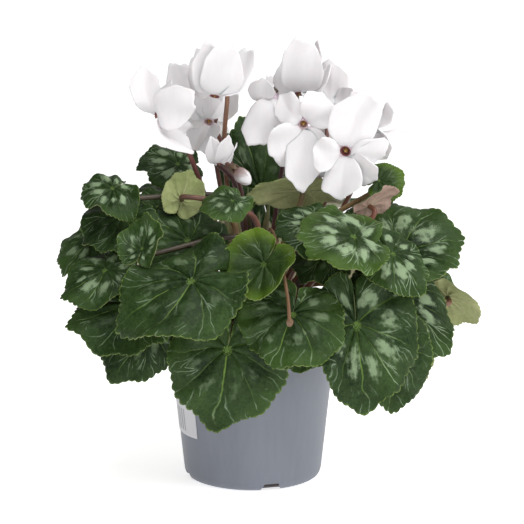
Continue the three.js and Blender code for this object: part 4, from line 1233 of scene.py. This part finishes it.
def petal_body(flower, petal, number):
    """A petal that leaves the mouth outward and turns back to its tip, ruffled and creased."""
    *tip, width, turn = petal
    tip = Vector(tip)
    axis = flower.axis
    toward = tip - flower.mouth
    radial = (toward - axis * toward.dot(axis)).normalized()
    start = flower.mouth - axis * 1.5 + radial * flower.radius * 0.8
    bulge = flower.mouth + axis * flower.radius * 1.7 + radial * flower.radius * 2.5
    tangential = axis.cross(radial).normalized()
    across_steps = np.linspace(-1, 1, PETAL_COLUMNS)
    phase = 2.1 * number + 7 + flower.mouth.x
    mid = np.zeros((PETAL_ROWS + 1, PETAL_COLUMNS, 3))
    for i in range(PETAL_ROWS + 1):
        for k, j in enumerate(across_steps):
            share = i / PETAL_ROWS
            skew = j - 0.16 * math.sin(phase)
            crimp = 0.022 * math.sin(6 * j + phase) + 0.007 * math.sin(14 * j + 2 * phase)
            t = share * (1 - (TIP_ROUNDING * abs(skew) ** 2.4 + crimp + 0.01) * share**2)
            centre = start * (1 - t) ** 2 + bulge * 2 * t * (1 - t) + tip * t * t
            tangent = ((bulge - start) * (1 - t) + (tip - bulge) * t).normalized()
            across = tangential.copy()
            across.rotate(Quaternion(tangent, turn * min(1, 2 * t)))
            face = tangent.cross(across).normalized()
            half = 0.5 * width * np.interp(t, PETAL_PLAN[0], PETAL_PLAN[1])
            lift = 0.05 * half * j * j - CREASE_DEPTH * math.exp(-((j / 0.14) ** 2)) * t
            lift += EDGE_RUFFLE * half * math.sin(5 * t + 2.3 * j + phase) * abs(j)
            lift += TIP_RUFFLE * half * math.sin(7 * t + 4 * j + phase) * t * t
            lift -= flower.layer * (number % 2) * t
            mid[i, k] = centre + across * half * j + face * lift
    normal = grid_normals(mid)
    thickness = np.full(mid.shape[:2], PETAL_THICKNESS)
    thickness *= 1 - 0.5 * np.abs(across_steps)[None, :] ** 4
    points, faces, _ = sheet(mid, normal, thickness)
    share = np.repeat(np.linspace(0, 1, PETAL_ROWS + 1), PETAL_COLUMNS)
    stain = np.clip(1 - share / 0.16, 0, 1)[:, None] ** 1.5
    tint = np.array(PETAL_WHITE) * (1 - stain) + np.array(PETAL_BLUSH) * stain
    return [Vector(p) for p in points], faces, np.concatenate([tint, tint]).tolist()


def tube_body(flower):
    """The short cup behind the petals, open at its mouth and stained inside."""
    r = flower.radius
    profile = [(0, -7), (0.6 * r, -7), (0.75 * r, -5.5), (0.95 * r, -2), (r, -0.4),
               (0.96 * r, 0.3), (0.86 * r, 0.2), (0.78 * r, -0.8), (0.62 * r, -3.4), (0, -4)]
    points, faces = lathe(rounded(profile, 0.5, 2), 40)
    stain = PALE_THROAT if flower.pale else THROAT_STAIN

    def tint(x, y, z):
        out = math.hypot(x, y)
        inner = out < 0.9 * r and z > -4.3 and out < r * (0.70 + 0.045 * (z + 4))
        return stain if inner or z > -0.2 else PETAL_BLUSH

    tints = [tint(*point) for point in points]
    return stand_along(points, flower.axis, flower.mouth), faces, tints


def anther_body(flower):
    """The cone of anthers, ridged by its five members, with the style at its point."""
    r = flower.radius

    def ridged(point):
        return swollen(point, 1 + 0.12 * math.cos(5 * math.atan2(point.y, point.x)))

    profile = [(0, -4.2), (0.5 * r, -4), (0.5 * r, -2.5), (0.3 * r, -0.9), (0.09 * r, 0.1),
               (0.08 * r, 1.2), (0, 1.3)]
    points, faces = lathe(rounded(profile, 0.5, 2), 30, ridged)
    return stand_along(points, flower.axis, flower.mouth), faces, [ANTHER_GOLD] * len(points)


def petal_skin():
    finish, tree, shader = new_finish("petal_skin", Roughness=0.6, Specular_IOR_Level=0.25,
                                      Subsurface_Weight=1.0,
                                      Subsurface_Radius=(0.012, 0.011, 0.011))
    tint = add(tree, "ShaderNodeAttribute", attribute_name="tint").outputs["Color"]
    cells, height = mottled(tree, *PETAL_CELLS, 220.0, (1, 1, 0.2))
    dress(tree, shader, blend(tree, 1.0, tint, cells, blend_type="MULTIPLY"), height, 0.12, 0.0005)
    return finish


petal_finish = petal_skin()
for flower in flowers:
    bodies = [petal_body(flower, petal, n) for n, petal in enumerate(flower.petals)]
    bodies += [tube_body(flower), anther_body(flower)]
    piece(flower.name + "_petals", joined(flower.name, bodies), petal_finish, "petal", flower.name)

# ---- The bud ----
# A young bud whose petals are still wound round one another: white at the tip and flushed
# purple-brown at its base.
BUD_PROFILE = [(0, 0), (0.2, 0.02), (0.33, 0.14), (0.4, 0.32), (0.395, 0.55), (0.3, 0.78),
               (0.16, 0.93), (0, 1)]
BUD_FLUSH = (0.16, 0.07, 0.055)
BUD_TWIST = 2.2


def bud_body():
    """A bud ridged and flushed along the spiral that its petals are wound in."""
    base, tip = Vector(BUD_BASE), Vector(BUD_TIP)
    length = (tip - base).length

    def winding(x, y, z):
        return math.sin(2.5 * (math.atan2(y, x) + BUD_TWIST * z / length))

    def wound(point):
        return swollen(point, 1 - 0.09 * abs(winding(*point)) ** 0.6)

    def tint(x, y, z):
        flush = max(0.0, 1 - z / ((0.75 + 0.2 * winding(x, y, z)) * length)) ** 0.6
        return mixed_tint(PETAL_WHITE, BUD_FLUSH, flush)

    profile = [(r * length * 0.95, z * length) for r, z in rounded(BUD_PROFILE, 0.06, 3)]
    profile[0], profile[-1] = (0, 0), (0, length)
    points, faces = lathe(profile, 80, wound)
    tints = [tint(*point) for point in points]
    return stand_along(points, (tip - base).normalized(), base), faces, tints


piece("flower_bud", joined("flower_bud", [bud_body()]), petal_finish, "bud", "bud_01")

# ---- The floor, the light and the camera ----
# A plain white floor under a soft white sky that is brighter to the right, two large soft
# lights, one from the front right and one overhead, and the camera at the photograph's angle.
FLOOR_RADIUS = 40000
FLOOR_SIDES = 96
FLOOR_GLOW = 0.72
SKY_FROM, SKY_TO = -0.6, 0.8
SKY_DIM, SKY_BRIGHT = 0.12, 0.90
WHITE = (1, 1, 1, 1)
CAMERA_PLACE = (0.0065, -1.1830, 0.3521)
CAMERA_TILT = 80.34
CAMERA_LENS = 119.2

scene = bpy.context.scene
scene.view_settings.view_transform = "Standard"


def white_floor():
    turns = np.linspace(0, 2 * math.pi, FLOOR_SIDES + 1)[:-1]
    ring = [(FLOOR_RADIUS * math.cos(a), FLOOR_RADIUS * math.sin(a), 0) for a in turns]
    mesh = mesh_of("floor", ring, [list(range(FLOOR_SIDES))])
    finish, _, _ = new_finish("floor_white", Roughness=0.9, Base_Color=(0.9, 0.9, 0.9, 1),
                              Emission_Color=WHITE, Emission_Strength=FLOOR_GLOW)
    mesh.materials.append(finish)
    held("floor", mesh)


def studio_sky():
    world = bpy.data.worlds.new("studio")
    scene.world = world
    world.use_nodes = True
    tree = world.node_tree
    backdrop = tree.nodes["Background"]
    backdrop.inputs["Color"].default_value = WHITE
    place = add(tree, "ShaderNodeTexCoord").outputs["Generated"]
    side = add(tree, "ShaderNodeSeparateXYZ", {0: place}).outputs["X"]
    light = remap(tree, side, SKY_FROM, SKY_TO, SKY_DIM, SKY_BRIGHT)
    tree.links.new(light, backdrop.inputs["Strength"])


def placed(name, data, place):
    holder = held(name, data)
    holder.location = place
    return holder


def soft_light(name, place, aim, size, power):
    lamp = bpy.data.lights.new(name, "AREA")
    lamp.size = size
    lamp.energy = power
    facing = (Vector(aim) - Vector(place)).to_track_quat("-Z", "Y")
    placed(name, lamp, place).rotation_euler = facing.to_euler()


def photo_camera():
    camera = bpy.data.cameras.new("camera")
    camera.lens = CAMERA_LENS
    camera.sensor_width = 36
    camera.clip_end = 100
    scene.camera = placed("camera", camera, CAMERA_PLACE)
    scene.camera.rotation_euler = (math.radians(CAMERA_TILT), 0, 0)


white_floor()
studio_sky()
soft_light("key_light", (1.0, -0.75, 1.1), (0, 0, 0.17), 0.55, 5.8)
soft_light("top_light", (0.15, -0.7, 1.5), (0, 0, 0.22), 1.1, 13.0)
photo_camera()
